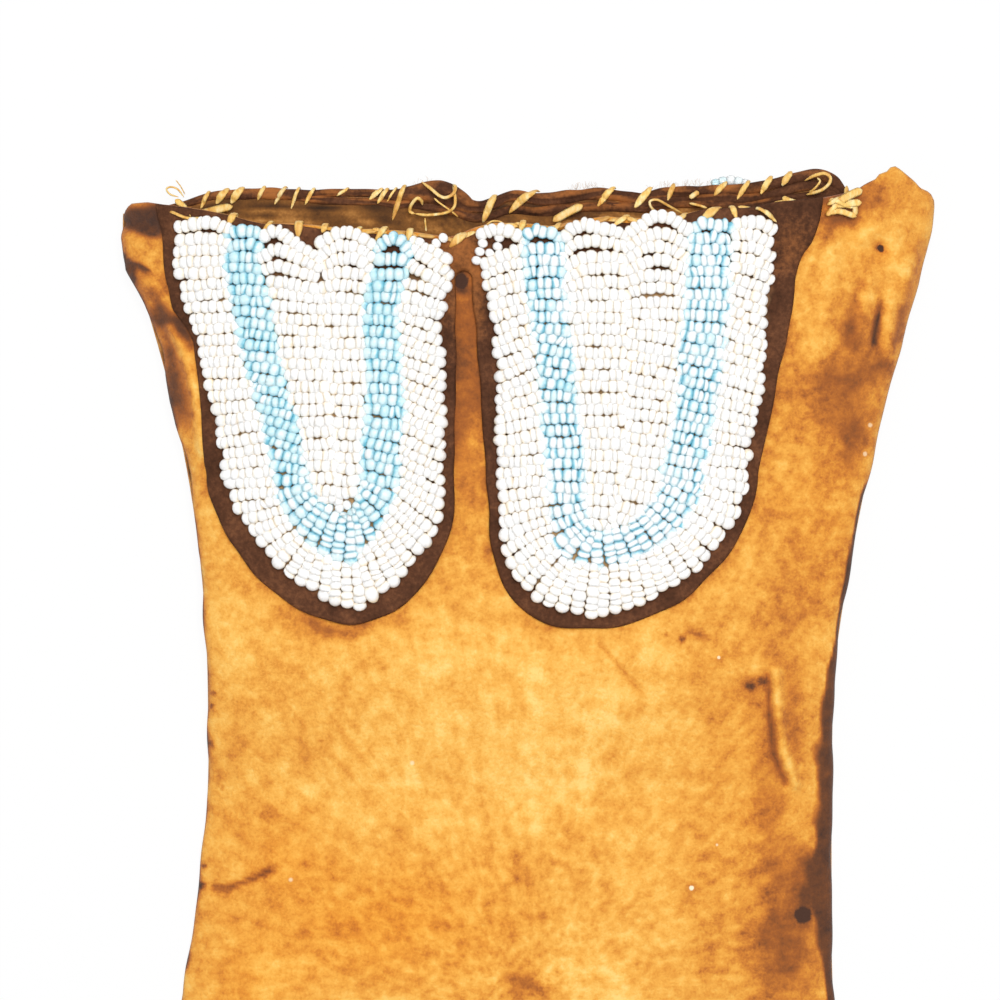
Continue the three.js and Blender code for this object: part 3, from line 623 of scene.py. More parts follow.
# Small marks on the front hide: x, depth, radius, softness, strength. The dark marks are stains, save the
# two in the ear's hole and at the top of the slit between the lobes, which are painted shade.
DARK_MARKS = [
    (74.1, 185.4, 0.4, 2.3, 0.9), (63, 123.8, 0.1, 1.9, 0.36), (60, 125, 0.1, 2.6, 0.24),
    (41.8, 112.9, 0.1, 1.7, 0.36), (93.7, 11.3, 0.35, 0.9, 0.8), (-15.1, 20.4, 0.9, 1.2, 0.6),
    (37.7, 111.6, 0.1, 0.9, 0.3), (43.4, 111.2, 0.1, 2, 0.22), (-80, 127.2, 0.2, 1.1, 0.35),
    (-80.4, 130.5, 0.1, 1, 0.3), (-80.6, 140.7, 0.1, 1.4, 0.25), (-77.9, 152, 0.1, 1, 0.2),
    (-82.6, 172.7, 0.2, 1.1, 0.35), (-83.3, 177.8, 0.3, 1.5, 0.3),
]
PALE_MARKS = [
    (51.5, 117.5, 0.25, 0.3, 0.7), (44.7, 177.8, 0.4, 0.4, 0.9), (-28.0, 145.0, 0.3, 0.5, 0.5),
    (-59.8, 175.8, 0.25, 0.5, 0.5), (51.4, 166.6, 0.2, 0.3, 0.6), (91.3, 57.2, 0.3, 0.5, 0.5),
    (90.0, 64.7, 0.3, 0.5, 0.5),
]
# Colours of the hide from pale to black-brown
HIDE_RAMP = [(0.0, srgb(246, 205, 119)), (0.15, srgb(242, 188, 93)), (0.30, srgb(235, 169, 71)),
             (0.45, srgb(221, 147, 54)), (0.60, srgb(197, 119, 43)), (0.75, srgb(158, 89, 36)),
             (0.88, srgb(110, 64, 34)), (1.0, srgb(72, 45, 32))]
INSIDE_RAMP = [(0.0, srgb(206, 158, 98)), (0.3, srgb(178, 122, 60)), (0.55, srgb(132, 85, 37)),
               (0.8, srgb(86, 53, 23)), (1.0, srgb(40, 26, 14))]
# Mottling of the hide from broad to fine: scale, detail, roughness and share of the shade
HIDE_FIELDS = [(24, 3, 0.5, 0.20), (100, 4, 0.6, 0.36), (220, 3, 0.55, 0.42), (430, 4, 0.62, 0.46),
               (1500, 3, 0.6, 0.24)]
# The shades between which the mottling fades, and its strength at each
MOTTLE_FADE = (0.45, 0.85, 1.35, 0.4)
AMBER_TINT = (1.0, 0.86, 0.55, 1.0)
DARK_RAGGED = 1.2
PALE_RAGGED = 0.3


def hide_material(name, shift, marked):
    """Napped tan hide: mottled at several sizes round the shade that each point carries."""
    shader = Shader(name, 0.88, sheen_weight=0.1, sheen_roughness=0.6, specular_ior_level=0.25)
    fields = []
    mottle = 0.0
    for scale, detail, roughness, share in HIDE_FIELDS:
        fields.append(shader.noise(scale, detail, roughness, shift=shift))
        mottle = shader.swung(fields[-1], share, mottle)
    nap, grain = fields[-2:]
    shade = shader.value("shade")
    tone = shader.math("MULTIPLY_ADD", mottle, shader.range(shade, *MOTTLE_FADE), shade)
    if marked:
        for x, depth, radius, soft, strength in DARK_MARKS:
            mark = shader.spot(x, depth, radius, soft, DARK_RAGGED)
            tone = shader.math("MULTIPLY_ADD", mark, strength, tone)
    colour = shader.mix(shader.value("amber"), shader.ramp(tone, *HIDE_RAMP), AMBER_TINT, "MULTIPLY")
    colour = shader.mix(shader.value("inner_face"), colour, shader.ramp(tone, *INSIDE_RAMP))
    if marked:
        for x, depth, radius, soft, strength in PALE_MARKS:
            mark = shader.math("MULTIPLY", shader.spot(x, depth, radius, soft, PALE_RAGGED), strength)
            colour = shader.mix(mark, colour, srgb(255, 240, 205))
    shader.colour(colour)
    shader.bump(shader.math("MULTIPLY_ADD", grain, 0.5, nap), 0.5, 0.8)
    return shader.material


def dark_hide_material():
    shader = Shader("dark_hide", 0.85, specular_ior_level=0.12)
    blotch = shader.noise(110, 5, 0.6)
    grain = shader.noise(900, 4, 0.65)
    tone = shader.math("MULTIPLY_ADD", blotch, 0.55, shader.math("MULTIPLY", grain, 0.45))
    colour = shader.ramp(tone, (0.3, srgb(54, 32, 20)), (0.5, srgb(86, 53, 35)), (0.72, srgb(124, 80, 53)))
    worn = shader.swung(tone, 1.6, shader.value("worn"))
    colour = shader.mix(shader.range(worn, 0.1, 1.0), colour, srgb(166, 102, 52))
    colour = shader.mix(shader.value("bed"), colour, srgb(196, 158, 112))
    shader.colour(colour)
    shader.bump(grain, 0.3, 0.6)
    return shader.material


def bead_material(name, light, deep, edge, clear):
    """Opaque glass with a shade for each bead, and an edge colour on its sides and where beads meet, past a
    clear share: painted shade with some dirt.
    """
    shader = Shader(name, 0.25, subsurface_weight=0.6, subsurface_scale=0.8 * MM,
                    subsurface_radius=(1, 1, 1))
    colour = shader.mix(shader.value("shade"), light, deep)
    specks = shader.noise(700, 3, 0.6)
    grime = shader.swung(specks, 0.5, shader.value("grime"))
    shader.colour(shader.mix(shader.range(grime, clear, clear + 0.95, 0.0, 0.95), colour, edge))
    return shader.material


def sinew_material():
    shader = Shader("sinew", 0.5, specular_ior_level=0.4)
    fibre = shader.noise(600, 5, 0.6, stretch=(1, 0.35, 1))
    colour = shader.ramp(fibre, (0.32, srgb(216, 154, 66)), (0.5, srgb(248, 203, 112)),
                         (0.68, srgb(255, 236, 174)))
    colour = shader.mix(shader.value("shade"), colour, srgb(176, 118, 54))
    shader.colour(colour)
    shader.bump(fibre, 0.25, 0.8)
    return shader.material


# The hide panels

# Shade of the front hide before its marks
HIDE_SHADE = 0.31
# Soft changes of shade on the front hide: x, depth, half-width, half-height, darker or paler by
SHADES = [
    # the pale middle of the body, with its palest places
    (5, 138, 34, 29, -0.13), (-23, 117, 18, 8, -0.10), (13, 148, 7.5, 7, -0.07), (6.5, 158, 8, 6, -0.08),
    (24, 125, 5, 5, -0.08), (21, 203, 11, 8, -0.14), (31, 175, 8, 7, -0.08), (-78, 109, 5, 6, -0.08),
    # darker parts of the body
    (-68, 139, 13, 16, 0.06), (-69, 165, 7.5, 7, 0.12), (-36, 188, 34, 15, 0.10), (48, 148, 7, 40, 0.13),
    (47, 192, 6.5, 6.5, 0.12), (67, 129, 9, 28, 0.20), (71, 133, 5, 9, 0.16), (69, 189, 12, 21, 0.38),
    (70, 173, 6, 5, 0.12), (76, 178, 4.5, 8, 0.4), (66, 155, 7, 16, 0.2), (71, 200, 9, 12, 0.12),
    (2, 203, 7.0, 4.2, 0.42), (5, 173, 10, 4.5, 0.08), (-83, 196, 6, 9, 0.12), (-47, 109, 11, 2.6, 0.36),
    (7, 110, 7, 2.5, 0.22), (44, 109.5, 3.5, 2.5, 0.2), (73, 105, 12, 7, 0.16), (60, 124, 3.5, 2.5, 0.16),
    # the right side beside the lobe and the ear above it
    (82, 44, 15.5, 7.5, 0.34), (78, 57, 13, 6, 0.2), (85, 58, 13, 15, 0.15), (81, 28, 9, 9, 0.13),
    (90, 50, 6, 12, 0.12), (87, 64, 5, 7, 0.22), (77, 90, 13, 15, 0.15), (97.5, 25, 5, 11, 0.14),
    (86, 31, 4, 6, 0.25), (93, 38, 3, 5, 0.3), (91, -2.6, 7.5, 5, 0.34), (83, 1.8, 6.5, 4, 0.36),
    (79, 5.2, 4, 4, 0.34), (87, 5, 5, 4, 0.12), (92, 4.5, 6, 4, 0.1), (98, 5, 6, 4, 0.03),
    (91, 18, 4, 3.5, 0.12), (70, -0.6, 12, 1.8, 0.4), (73.6, 24.7, 2.5, 11, -0.08), (104, 0, 5, 4, 0.1),
    (89, 11, 6, 5, -0.05),
    # the left corner and neck, with painted shade in the pinched corner's pocket, and the hide between the
    # lobes, darker as a stain and as painted shadow of the flap
    (-99, 1.5, 9, 3, 0.44), (-96.5, 5.6, 5.5, 3, 0.6), (-97, 12, 8, 6, 0.1), (-103.5, 2.5, 4, 3.5, 0.32),
    (-97.5, 23, 3.5, 6, 0.24), (-99, 11.7, 4, 3.5, -0.05), (-95, 18, 3, 2, 0.14),
    (-93.6, 27, 4.5, 7.5, 0.34), (46, 110.5, 4, 2.2, 0.18), (-75.4, 170.6, 5, 4, -0.06),
    (-90.5, 38, 4, 16, 0.42), (-86.8, 53, 4, 8, 0.32), (-86, 43, 2.4, 6, 0.16), (-83.5, 51, 2, 5, 0.18),
    (-83, 71, 4, 7, 0.08), (-14, 44, 7, 42, 0.42),
    # below the picture
    (30, 235, 36, 14, 0.10), (-50, 262, 30, 22, 0.10), (10, 320, 60, 24, 0.08), (-80, 330, 16, 40, 0.14),
    (62, 300, 22, 30, 0.12), (0, 398, 90, 8, 0.2), (74, 240, 10, 26, 0.2), (-10, 285, 30, 26, -0.1),
]
# Places where the hide is more orange, in the same form
AMBER = [(-36, 186, 34, 17, 0.9), (-62, 168, 12, 10, 0.5), (-70, 205, 12, 14, 0.5),
         (60, 150, 14, 30, 0.25), (80, 80, 12, 22, 0.3), (91, 11, 6, 5, 0.4), (20, 250, 60, 30, 0.35),
         (-60, 300, 40, 30, 0.4)]
# Dark lines: painted shade in the open slits, and dirt with painted shade along creases; with the
# half-width and how much darker
DARK_LINES = [
    ([(-100.2, 15.2), (-98.4, 15.8), (-96.7, 16.7)], 0.7, 0.35),
    ([(-88.4, 31), (-86.4, 34), (-85.2, 37)], 1.3, 0.3),
    ([(-80, 178.3), (-76.5, 178.4), (-73.8, 177), (-70, 175.9), (-65, 173.3)], 0.9, 0.32),
    ([(93.9, 25), (93.2, 29), (92, 36)], 0.9, 0.16), ([(93.3, 29), (92.7, 32.5)], 0.9, 0.2),
    ([(99.5, 27), (95.4, 44)], 1.4, 0.1), ([(89.4, 29), (87.6, 37)], 1.4, 0.16),
    ([(92.2, 9.4), (92.4, 11.2), (93.4, 12.6)], 0.7, 0.12),
    ([(20.5, 113.2), (25, 119), (31, 126)], 0.8, 0.17), ([(95.2, 11), (95.0, 12.6)], 0.7, 0.12),
    ([(84, 18), (81, 31)], 1.8, 0.10), ([(103, 8), (100.5, 22), (97.5, 36)], 2.2, 0.10),
]
# The dark band along the right edge: depth and width
RIGHT_BAND = [(70, 0.1), (75, 0.7), (115, 0.7), (118, 1.2), (121, 1.9), (129, 2.7), (136, 3.6),
              (144, 4.6), (152, 3.4), (160, 4.6), (165, 4.2), (170, 7), (176, 8.8), (181, 8.8),
              (185, 7.4), (189, 5.4), (196, 3.4), (204, 1.8), (240, 3), (300, 2), (410, 2)]
BAND_SHADE = 0.93
BAND_STARTS = (66, 75)
# The shares of its width between which the band fades
BAND_EDGE = (0.6, 1.5)
BAND_WANDER = 0.16
SHADE_LIMITS = (0.02, 0.97)
# How the edges of soft marks wander aside and down: height, wavelength and seed
MARKS_ASIDE = [(1.6, 22, 21), (0.9, 8, 22)]
MARKS_DOWN = [(1.6, 22, 23), (0.9, 8, 24)]
# Folds: darker hollows and paler ridges, dirt and wear with painted shade and light. Round the flap: dirt
# and painted shade. Along the left edge: darker. For each, how dark it is, and how far it reaches
FOLD_DIRT_AND_SHADE = 0.26
FOLD_DIRT_AND_SHADE_REACH = 1.1
FLAP_DIRT_AND_SHADE = 0.14
FLAP_DIRT_AND_SHADE_REACH = 1.8
EDGE_DARKENING = 0.12
EDGE_DARKENING_REACH = 0.7


def soft_marks(marks, x, depth):
    """The marks' strengths added up, with edges that wander."""
    total = np.zeros(np.shape(x))
    moved_x = x + ripples(x, depth, MARKS_ASIDE)
    moved_depth = depth + ripples(x, depth, MARKS_DOWN)
    for at_x, at_depth, half_width, half_height, strength in marks:
        away = ((moved_x - at_x) / half_width) ** 2 + ((moved_depth - at_depth) / half_height) ** 2
        total = total + strength * np.exp(-away)
    return total


def hide_shade(x, depth):
    """Shade of the front hide: its marks, the folds' darker hollows and paler ridges (dirt and wear, with
    painted shade and light), dirt and painted shade round the flap, the darker left edge, and the dark
    right edge.
    """
    shade = HIDE_SHADE + soft_marks(SHADES, x, depth)
    # painted shade in the folds' hollows and painted light on their ridges, with dirt and wear
    for points, half_width, rise in FOLDS:
        reach = FOLD_DIRT_AND_SHADE_REACH * half_width
        shade = shade - FOLD_DIRT_AND_SHADE * rise * np.exp(-(line_distance(x, depth, points) / reach) ** 2)
    for points, half_width, darker in DARK_LINES:
        shade = shade + darker * np.exp(-(line_distance(x, depth, points) / half_width) ** 2)
    # darker round the flap's outline: dirt, and painted shade where the flap stands off the hide
    outline = flap_outline(front_flap_rim, 3, 51)
    shade = shade + FLAP_DIRT_AND_SHADE * np.exp(-line_distance(x, depth, outline) / FLAP_DIRT_AND_SHADE_REACH)
    band = through(RIGHT_BAND, depth) * (1 + BAND_WANDER * ripple(depth, x, 13, 25))
    to_right = side_width(RIGHT_SIDE, depth) - x
    past_band = smoothstep(to_right / np.maximum(band, 0.05), *BAND_EDGE)
    in_band = smoothstep(depth, *BAND_STARTS) * (1 - past_band)
    # darker along the left edge
    to_left = side_width(LEFT_SIDE, depth) + x
    on_edge = EDGE_DARKENING * np.exp(-to_left / EDGE_DARKENING_REACH) * (1 + ripple(depth, 0 * depth, 11, 26))
    return np.clip(np.maximum(shade + on_edge, BAND_SHADE * in_band), *SHADE_LIMITS)


# Columns of points across a hide panel
COLUMNS = 164
# How far the columns of points keep an even spacing, and how far down the rows still bend with the rim
EVEN_COLUMNS = 0.6
RIM_REACH = 120
# How sharply the rows take on the rounded foot
FOOT_BEND = 8
# A hand-cut edge: the share of the width that it moves, and how far
EDGE_REACH = 0.05
EDGE_WANDER = 0.25
# Rows of the front hide, by depth: closer together where the hide is folded
FRONT_ROWS = np.concatenate([np.linspace(0, 62, 74)[:-1], np.linspace(62, 212, 146)[:-1],
                             np.linspace(212, 410, 66)])
BACK_ROWS = np.concatenate([np.linspace(0, 30, 26)[:-1], np.linspace(30, 410, 80)])


def panel_grid(rim_depth, row_depths):
    """Shares and depths of a panel's points: the rows follow the rim above and the rounded foot below."""
    place = np.linspace(0, 1, COLUMNS + 1)
    share = EVEN_COLUMNS * place + (1 - EVEN_COLUMNS) * (1 - np.cos(np.pi * place)) / 2
    down = (row_depths / BAG_LENGTH)[:, None]
    rim = rim_depth(across_at(share, 0))
    near_rim = np.maximum(0, 1 - row_depths / RIM_REACH)[:, None] ** 2
    depth = row_depths[:, None] + rim * near_rim + down ** FOOT_BEND * (foot_depth(share) - BAG_LENGTH)
    share = np.broadcast_to(share, depth.shape)
    return share, depth


def ragged_edge(share, depth, seed):
    """A hand-cut edge: moves the points near the sides in and out a little."""
    near = np.clip(1 - np.minimum(share, 1 - share) / EDGE_REACH, 0, 1)
    swell = np.where(share < 0.5, -through(LEFT_SWELL, depth), through(RIGHT_SWELL, depth))
    return near * (swell + EDGE_WANDER * ripple(depth, 0 * depth, 21, seed))


def add_front_hide():
    share, depth = panel_grid(front_rim, FRONT_ROWS)
    x = across_at(share, depth)
    top = front_top(x, depth)
    x = x + ragged_edge(share, depth, 31)
    vertices, faces = closed_grid(to_space(x, depth, top), to_space(x, depth, top - HIDE), EDGE_BULGE)
    plan_x = vertices[:, 0]
    plan_depth = MOUTH_Y - vertices[:, 1]
    pile = Pile()
    inner_face = np.zeros(len(vertices))
    inner_face[share.size:2 * share.size] = 1
    pile.add(vertices, faces, shade=hide_shade(plan_x, plan_depth), inner_face=inner_face,
             amber=np.clip(soft_marks(AMBER, plan_x, plan_depth), 0, 1))
    panel = pile.piece("front_hide", hide_material("front_hide", (0, 0, 0), True), "hide")
    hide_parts("front_panel")
    return panel


# Shades of the back's two faces, the inner one darker partly as painted shade inside the pouch, and the
# dark line inside it under the roll, a painted shadow
INSIDE_SHADE = 0.57
OUTSIDE_SHADE = 0.36
ROLL_SHADOW = {"dark": 0.24, "below": 4.4, "width": 1.8}
# Soft changes of shade on the inside of the back, seen through the mouth: partly painted shade and light,
# partly the hide's own tone
INSIDE_SHADES = [(-5, 2, 14, 10, 0.1), (-62, 4.5, 14, 3.5, -0.24), (-25, 7, 16, 2.5, -0.14),
                 (-38, 2.5, 10, 3, 0.14), (45, 0, 22, 6, -0.2)]


def add_back_hide():
    share, depth = panel_grid(back_rim, BACK_ROWS)
    x = across_at(share, depth)
    under = back_under(depth)
    vertices, faces = closed_grid(to_space(x, depth, under + HIDE), to_space(x, depth, under), EDGE_BULGE)
    plan_x = vertices[:, 0]
    plan_depth = MOUTH_Y - vertices[:, 1]
    inner_face = np.zeros(len(vertices))
    inner_face[:share.size] = 1
    from_crest = plan_depth - roll_crest(plan_x)
    # painted shadow of the roll along the inside of the back
    from_roll_shadow = (from_crest - ROLL_SHADOW["below"]) / ROLL_SHADOW["width"]
    inside_shade = INSIDE_SHADE + ROLL_SHADOW["dark"] * np.exp(-from_roll_shadow ** 2)
    inside_shade += soft_marks(INSIDE_SHADES, plan_x, plan_depth)
    inside_shade += 0.1 * ripple(0.5 * plan_x, plan_depth, 9, 41)
    inside_shade += 0.14 * ripple(0.4 * plan_x, 2 * plan_depth, 5, 43)
    outside_shade = OUTSIDE_SHADE + 0.1 * ripple(plan_x, plan_depth, 60, 42)
    shade = np.where(inner_face > 0, inside_shade, outside_shade)
    pile = Pile()
    pile.add(vertices, faces, shade=shade, inner_face=inner_face, amber=0.2)
    panel = pile.piece("back_hide", hide_material("back_hide", (0.4, 0.3, 0), False), "hide")
    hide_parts("back_panel")
    return panel


# The flaps

# Spacing of the points along a flap's outline and inside it, in front and behind
FRONT_SPACING = (0.9, 2.4)
BACK_SPACING = (1.1, 3.2)
FLAP_WANDER = 0.2
# The depths between which the outline's wandering sets in, so that the rim keeps its line
WANDER_STARTS = (8, 20)
# The curl of the front flap's edge: its height, how far in it reaches, and where it sets in
FLAP_CURL = 0.35
CURL_REACH = 5
CURL_STARTS = (20, 40)
# Where the flap shows paler between the beads: ways in from its edge, and depths
BED_INSIDE = (6.5, 9)
BED_STARTS = (16, 26)


def lobe_line(lobe, inset, top_depth, t):
    """One of a lobe's nested U lines: down the left side, round the bottom and up the right side."""
    t = np.asarray(t, float)
    on_left = t < 0.5
    top = np.where(on_left, lobe["top_left"] + inset["left"], lobe["top_right"] - inset["right"])
    low = np.where(on_left, lobe["low_left"] + inset["left"], lobe["low_right"] - inset["right"])
    shoulder = np.where(on_left, lobe["left_shoulder"], lobe["right_shoulder"] - inset["lift"])
    bottom = lobe["depth"] - inset["bottom"]
    fullness = np.where(on_left, lobe["left_round"] - inset["left_tuck"],
                        lobe["right_round"] - inset["right_tuck"])
    up = np.abs(4 * t - 2)
    rise = np.clip(up - 1, 0, 1)
    turn = np.clip(up, 0, 1) * np.pi / 2
    straight = up > 1
    round_x = lobe["lowest"] + (low - lobe["lowest"]) * np.sin(turn) ** (2 / fullness)
    round_depth = shoulder + (bottom - shoulder) * np.maximum(np.cos(turn), 0) ** (2 / fullness)
    x = np.where(straight, low + (top - low) * rise, round_x)
    depth = np.where(straight, shoulder + (top_depth(top) - shoulder) * rise, round_depth)
    return np.stack([x, depth], axis=-1)


def even_points(points, spacing):
    """Points at an even spacing along a closed line."""
    closed = np.vstack([points, points[:1]])
    run = run_along(closed)
    at = np.arange(0, run[-1], spacing)
    return np.stack([np.interp(at, run, closed[:, 0]), np.interp(at, run, closed[:, 1])], axis=1)


def flap_outline(rim_depth, spacing, seed):
    """Outline of a flap as x and depth: along the rim, round the right lobe, the slit and the left lobe."""
    rim_x = np.linspace(FLAP_LEFT_TOP[-1][0] - 0.3, FLAP_CORNER[0][0], 200)
    rim = np.stack([rim_x, rim_depth(rim_x)], axis=1)

    def flat_top(x):
        return np.full(np.shape(x), SLIT_TOP)

    t = np.linspace(1, 0, 300)
    right = lobe_line(RIGHT_LOBE, NO_INSET, flat_top, t)
    left = lobe_line(LEFT_LOBE, NO_INSET, flat_top, t)
    right = right[(t < 0.5) | (right[:, 1] > FLAP_CORNER_DEPTH)]
    middle = (right[-1, 0] + left[0, 0]) / 2
    radius = (right[-1, 0] - left[0, 0]) / 2
    turn = np.linspace(0, np.pi, 12)[1:-1]
    slit = np.stack([middle + radius * np.cos(turn), SLIT_TOP - radius * np.sin(turn)], axis=1)
    left[t < 0.5, 0] += through(FLAP_LEFT_DRIFT, left[t < 0.5, 1])
    left = left[(t > 0.5) | (left[:, 1] > FLAP_LEFT_TOP[0][1] + 1)]
    corner = smooth_path(FLAP_CORNER, 40)[1:]
    left_top = smooth_path(FLAP_LEFT_TOP, 30)
    outline = even_points(np.vstack([rim, corner, right, slit, left, left_top]), spacing)
    wander = FLAP_WANDER * ripple(outline[:, 0], outline[:, 1], 14, seed)
    ahead = unit(np.roll(outline, -1, axis=0) - np.roll(outline, 1, axis=0))
    away_from_rim = smoothstep(outline[:, 1], *WANDER_STARTS)[:, None]
    return outline + np.stack([-ahead[:, 1], ahead[:, 0]], axis=1) * wander[:, None] * away_from_rim


def inside(points, outline):
    x, y = points[:, :1], points[:, 1:]
    x0, y0 = outline.T
    x1, y1 = np.roll(outline, -1, axis=0).T
    crosses = (y0 > y) != (y1 > y)
    run = np.where(y1 == y0, 1, y1 - y0)
    return (crosses & (x < x0 + (y - y0) * (x1 - x0) / run)).sum(axis=1) % 2 == 1


def plan_mesh(outline, spacing, rings):
    """Triangles over a plan outline, with rings of points near its edge, and each point's way to it."""
    closed = np.vstack([outline, outline[:1]])
    ahead = unit(np.roll(outline, -1, axis=0) - np.roll(outline, 1, axis=0))
    inward = np.stack([-ahead[:, 1], ahead[:, 0]], axis=1)
    points = [outline]
    for ring in rings:
        shifted = outline + inward * ring
        away = line_distance(shifted[:, 0], shifted[:, 1], closed)
        points.append(shifted[inside(shifted, outline) & (away > 0.9 * ring)])
    low, high = outline.min(axis=0), outline.max(axis=0)
    across, down = np.meshgrid(np.arange(low[0], high[0], spacing), np.arange(low[1], high[1], spacing))
    across = across + spacing / 2 * (np.arange(len(across)) % 2)[:, None]
    grid = np.stack([across.ravel(), down.ravel()], axis=1)
    grid = grid[inside(grid, outline)]
    away = line_distance(grid[:, 0], grid[:, 1], closed)
    points.append(grid[away > rings[-1] + spacing / 3])
    flat = [Vector(p) for p in np.vstack(points)]
    made = geometry.delaunay_2d_cdt(flat, [], [list(range(len(outline)))], 1, 1e-5)
    plan = np.array([tuple(p) for p in made[0]])
    triangles = np.array(made[2])
    a, b, c = plan[triangles[:, 0]], plan[triangles[:, 1]], plan[triangles[:, 2]]
    flipped = (b[:, 0] - a[:, 0]) * (c[:, 1] - a[:, 1]) - (b[:, 1] - a[:, 1]) * (c[:, 0] - a[:, 0]) > 0
    triangles[flipped] = triangles[flipped][:, ::-1]
    return plan, triangles, line_distance(plan[:, 0], plan[:, 1], closed)


def closed_plan(plan, triangles, top, bottom):
    """A closed sheet over a triangulated plan (x and depth), between two heights."""
    edges = np.concatenate([triangles[:, [0, 1]], triangles[:, [1, 2]], triangles[:, [2, 0]]])
    known = {tuple(edge) for edge in edges.tolist()}
    border = np.array([edge for edge in known if (edge[1], edge[0]) not in known])
    border = border[np.lexsort(border.T)]
    count = len(plan)
    vertices = np.vstack([to_space(plan[:, 0], plan[:, 1], top), to_space(plan[:, 0], plan[:, 1], bottom)])
    walls = np.stack([border[:, 1], border[:, 0], border[:, 0] + count, border[:, 1] + count], axis=1)
    return vertices, [triangles, triangles[:, ::-1] + count, walls]


# Rings of points near a flap's edge, and how far in its rounding reaches
EDGE_RINGS = (0.25, 0.6, 1.1)
EDGE_ROUND = 0.85
# Worn places of the front flap: x, depth, half-width, half-height, strength
WORN_PLACES = [(-15, 14, 9, 8, 0.66), (70, 10, 8, 9, 0.35), (-14, 30, 5, 12, 0.5)]


def edge_fall(away):
    """How far a rounded edge falls away, by the distance from the outline."""
    near = np.clip(1 - away / EDGE_ROUND, 0, 1)
    return EDGE_ROUND * (1 - np.sqrt(1 - near ** 2))


def add_front_flap():
    outline = flap_outline(front_flap_rim, FRONT_SPACING[0], 51)
    plan, triangles, away = plan_mesh(outline, FRONT_SPACING[1], EDGE_RINGS)
    x, depth = plan.T
    top = front_flap_top(x, depth)
    curl = FLAP_CURL * np.clip(1 - away / CURL_REACH, 0, 1) * (1 + ripple(x, depth, 30, 52))
    top = top + np.maximum(curl * smoothstep(depth, *CURL_STARTS), 0)
    vertices, faces = closed_plan(plan, triangles, top - edge_fall(away), top - FLAP)
    worn = soft_marks(WORN_PLACES, x, depth)
    worn = np.maximum(worn, 0.15 * np.clip(1 - away / 1.2, 0, 1))
    pile = Pile()
    bed = smoothstep(away, *BED_INSIDE) * smoothstep(depth, *BED_STARTS)
    pile.add(vertices, faces, worn=np.concatenate([worn, worn]), bed=np.concatenate([bed, 0 * bed]))
    flap = pile.piece("front_flap_hide", dark_hide, "dark_hide")
    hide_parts("front_flap")
    return flap


def roll_crest(x):
    crest = smooth_path(ROLL_CREST, 400)
    return np.interp(x, crest[:, 0], crest[:, 1])


def strand_line(strand, x):
    """Depth, height and radius of one strand of the roll."""
    depth = roll_crest(x) + through(strand["below"], x)
    radius = through(strand["radius"], x)
    return depth, BACK_LIFT + HIDE / 2 + strand["over"], radius


def roll_top(x, depth):
    """Height of the roll's upper side, or of the inside of the back beside it."""
    height = np.full(np.shape(x), BACK_LIFT + HIDE)
    for strand in ROLL_STRANDS:
        centre, z, radius = strand_line(strand, x)
        bulge = np.sqrt(np.maximum(0, radius ** 2 - (depth - centre) ** 2))
        on_strand = (x >= strand["below"][0][0]) & (x <= strand["below"][-1][0]) & (bulge > 0)
        height = np.where(on_strand, np.maximum(height, z + bulge), height)
    return height


ROLL_SIDES = 22
# The groove in the roll: its depth as a share of the radius, and its half-width as an angle
GROOVE_DEPTH = 0.34
GROOVE_WIDTH = 0.30


def rolled_edge(centre, radius, seed):
    """Rings of an uneven roll of hide with a groove that wanders along its upper side, and that groove."""
    turn = np.arange(ROLL_SIDES) * 2 * np.pi / ROLL_SIDES
    run = centre[:, 0]
    swell = 1 + 0.10 * ripple(run, 0 * run, 24, seed) + 0.06 * ripple(run, 0 * run, 7, seed + 1)
    groove_at = np.pi * (0.5 + 0.18 * ripple(run, 0 * run, 38, seed + 2))
    from_groove = np.angle(np.exp(1j * (turn[None, :] - groove_at[:, None])))
    depth_share = GROOVE_DEPTH * smoothstep(ripple(run, 0 * run, 45, seed + 3), -0.9, 0.3)
    groove = depth_share[:, None] * np.exp(-(from_groove / GROOVE_WIDTH) ** 2)
    size = (radius * swell * tapered(len(run), 0.02))[:, None] * (1 - groove)
    ahead = unit(np.gradient(centre, axis=0))
    up = np.array([0.0, 0.0, 1.0])
    outward = unit(np.cross(up, ahead))
    rings = centre[:, None, :] + outward[:, None, :] * (size * np.cos(turn))[:, :, None] \
        + up * (size * np.sin(turn))[:, :, None]
    return rings, groove


def add_back_flap():
    outline = flap_outline(back_flap_rim, BACK_SPACING[0], 61)
    plan, triangles, away = plan_mesh(outline, BACK_SPACING[1], EDGE_RINGS)
    low = BEAD + CLEARANCE
    vertices, faces = closed_plan(plan, triangles, np.full(len(plan), low + FLAP), low + edge_fall(away))
    pile = Pile()
    pile.add(vertices, faces, worn=0)
    for number, strand in enumerate(ROLL_STRANDS):
        x = np.linspace(strand["below"][0][0], strand["below"][-1][0], 380)
        depth, height, radius = strand_line(strand, x)
        depth = depth + 0.2 * ripple(x, 0 * x, 19, 70 + number)
        rings, groove = rolled_edge(to_space(x, depth, height), radius, 80 + 10 * number)
        vertices, faces = skin(rings)
        rub_and_groove_shade = 0.4 + 0.36 * ripple(vertices[:, 0], 3 * vertices[:, 1], 16, 64 + number)
        rub_and_groove_shade = rub_and_groove_shade - 0.35 * smoothstep(vertices[:, 0], 55, 70)
        # the groove is left dark: painted shade in it, and hide that is not rubbed there
        rub_and_groove_shade[:groove.size] -= 2.5 * groove.ravel()
        pile.add(vertices, faces, worn=rub_and_groove_shade)
    flap = pile.piece("back_flap_hide", dark_hide, "dark_hide")
    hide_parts("back_flap")
    return flap


# The beads

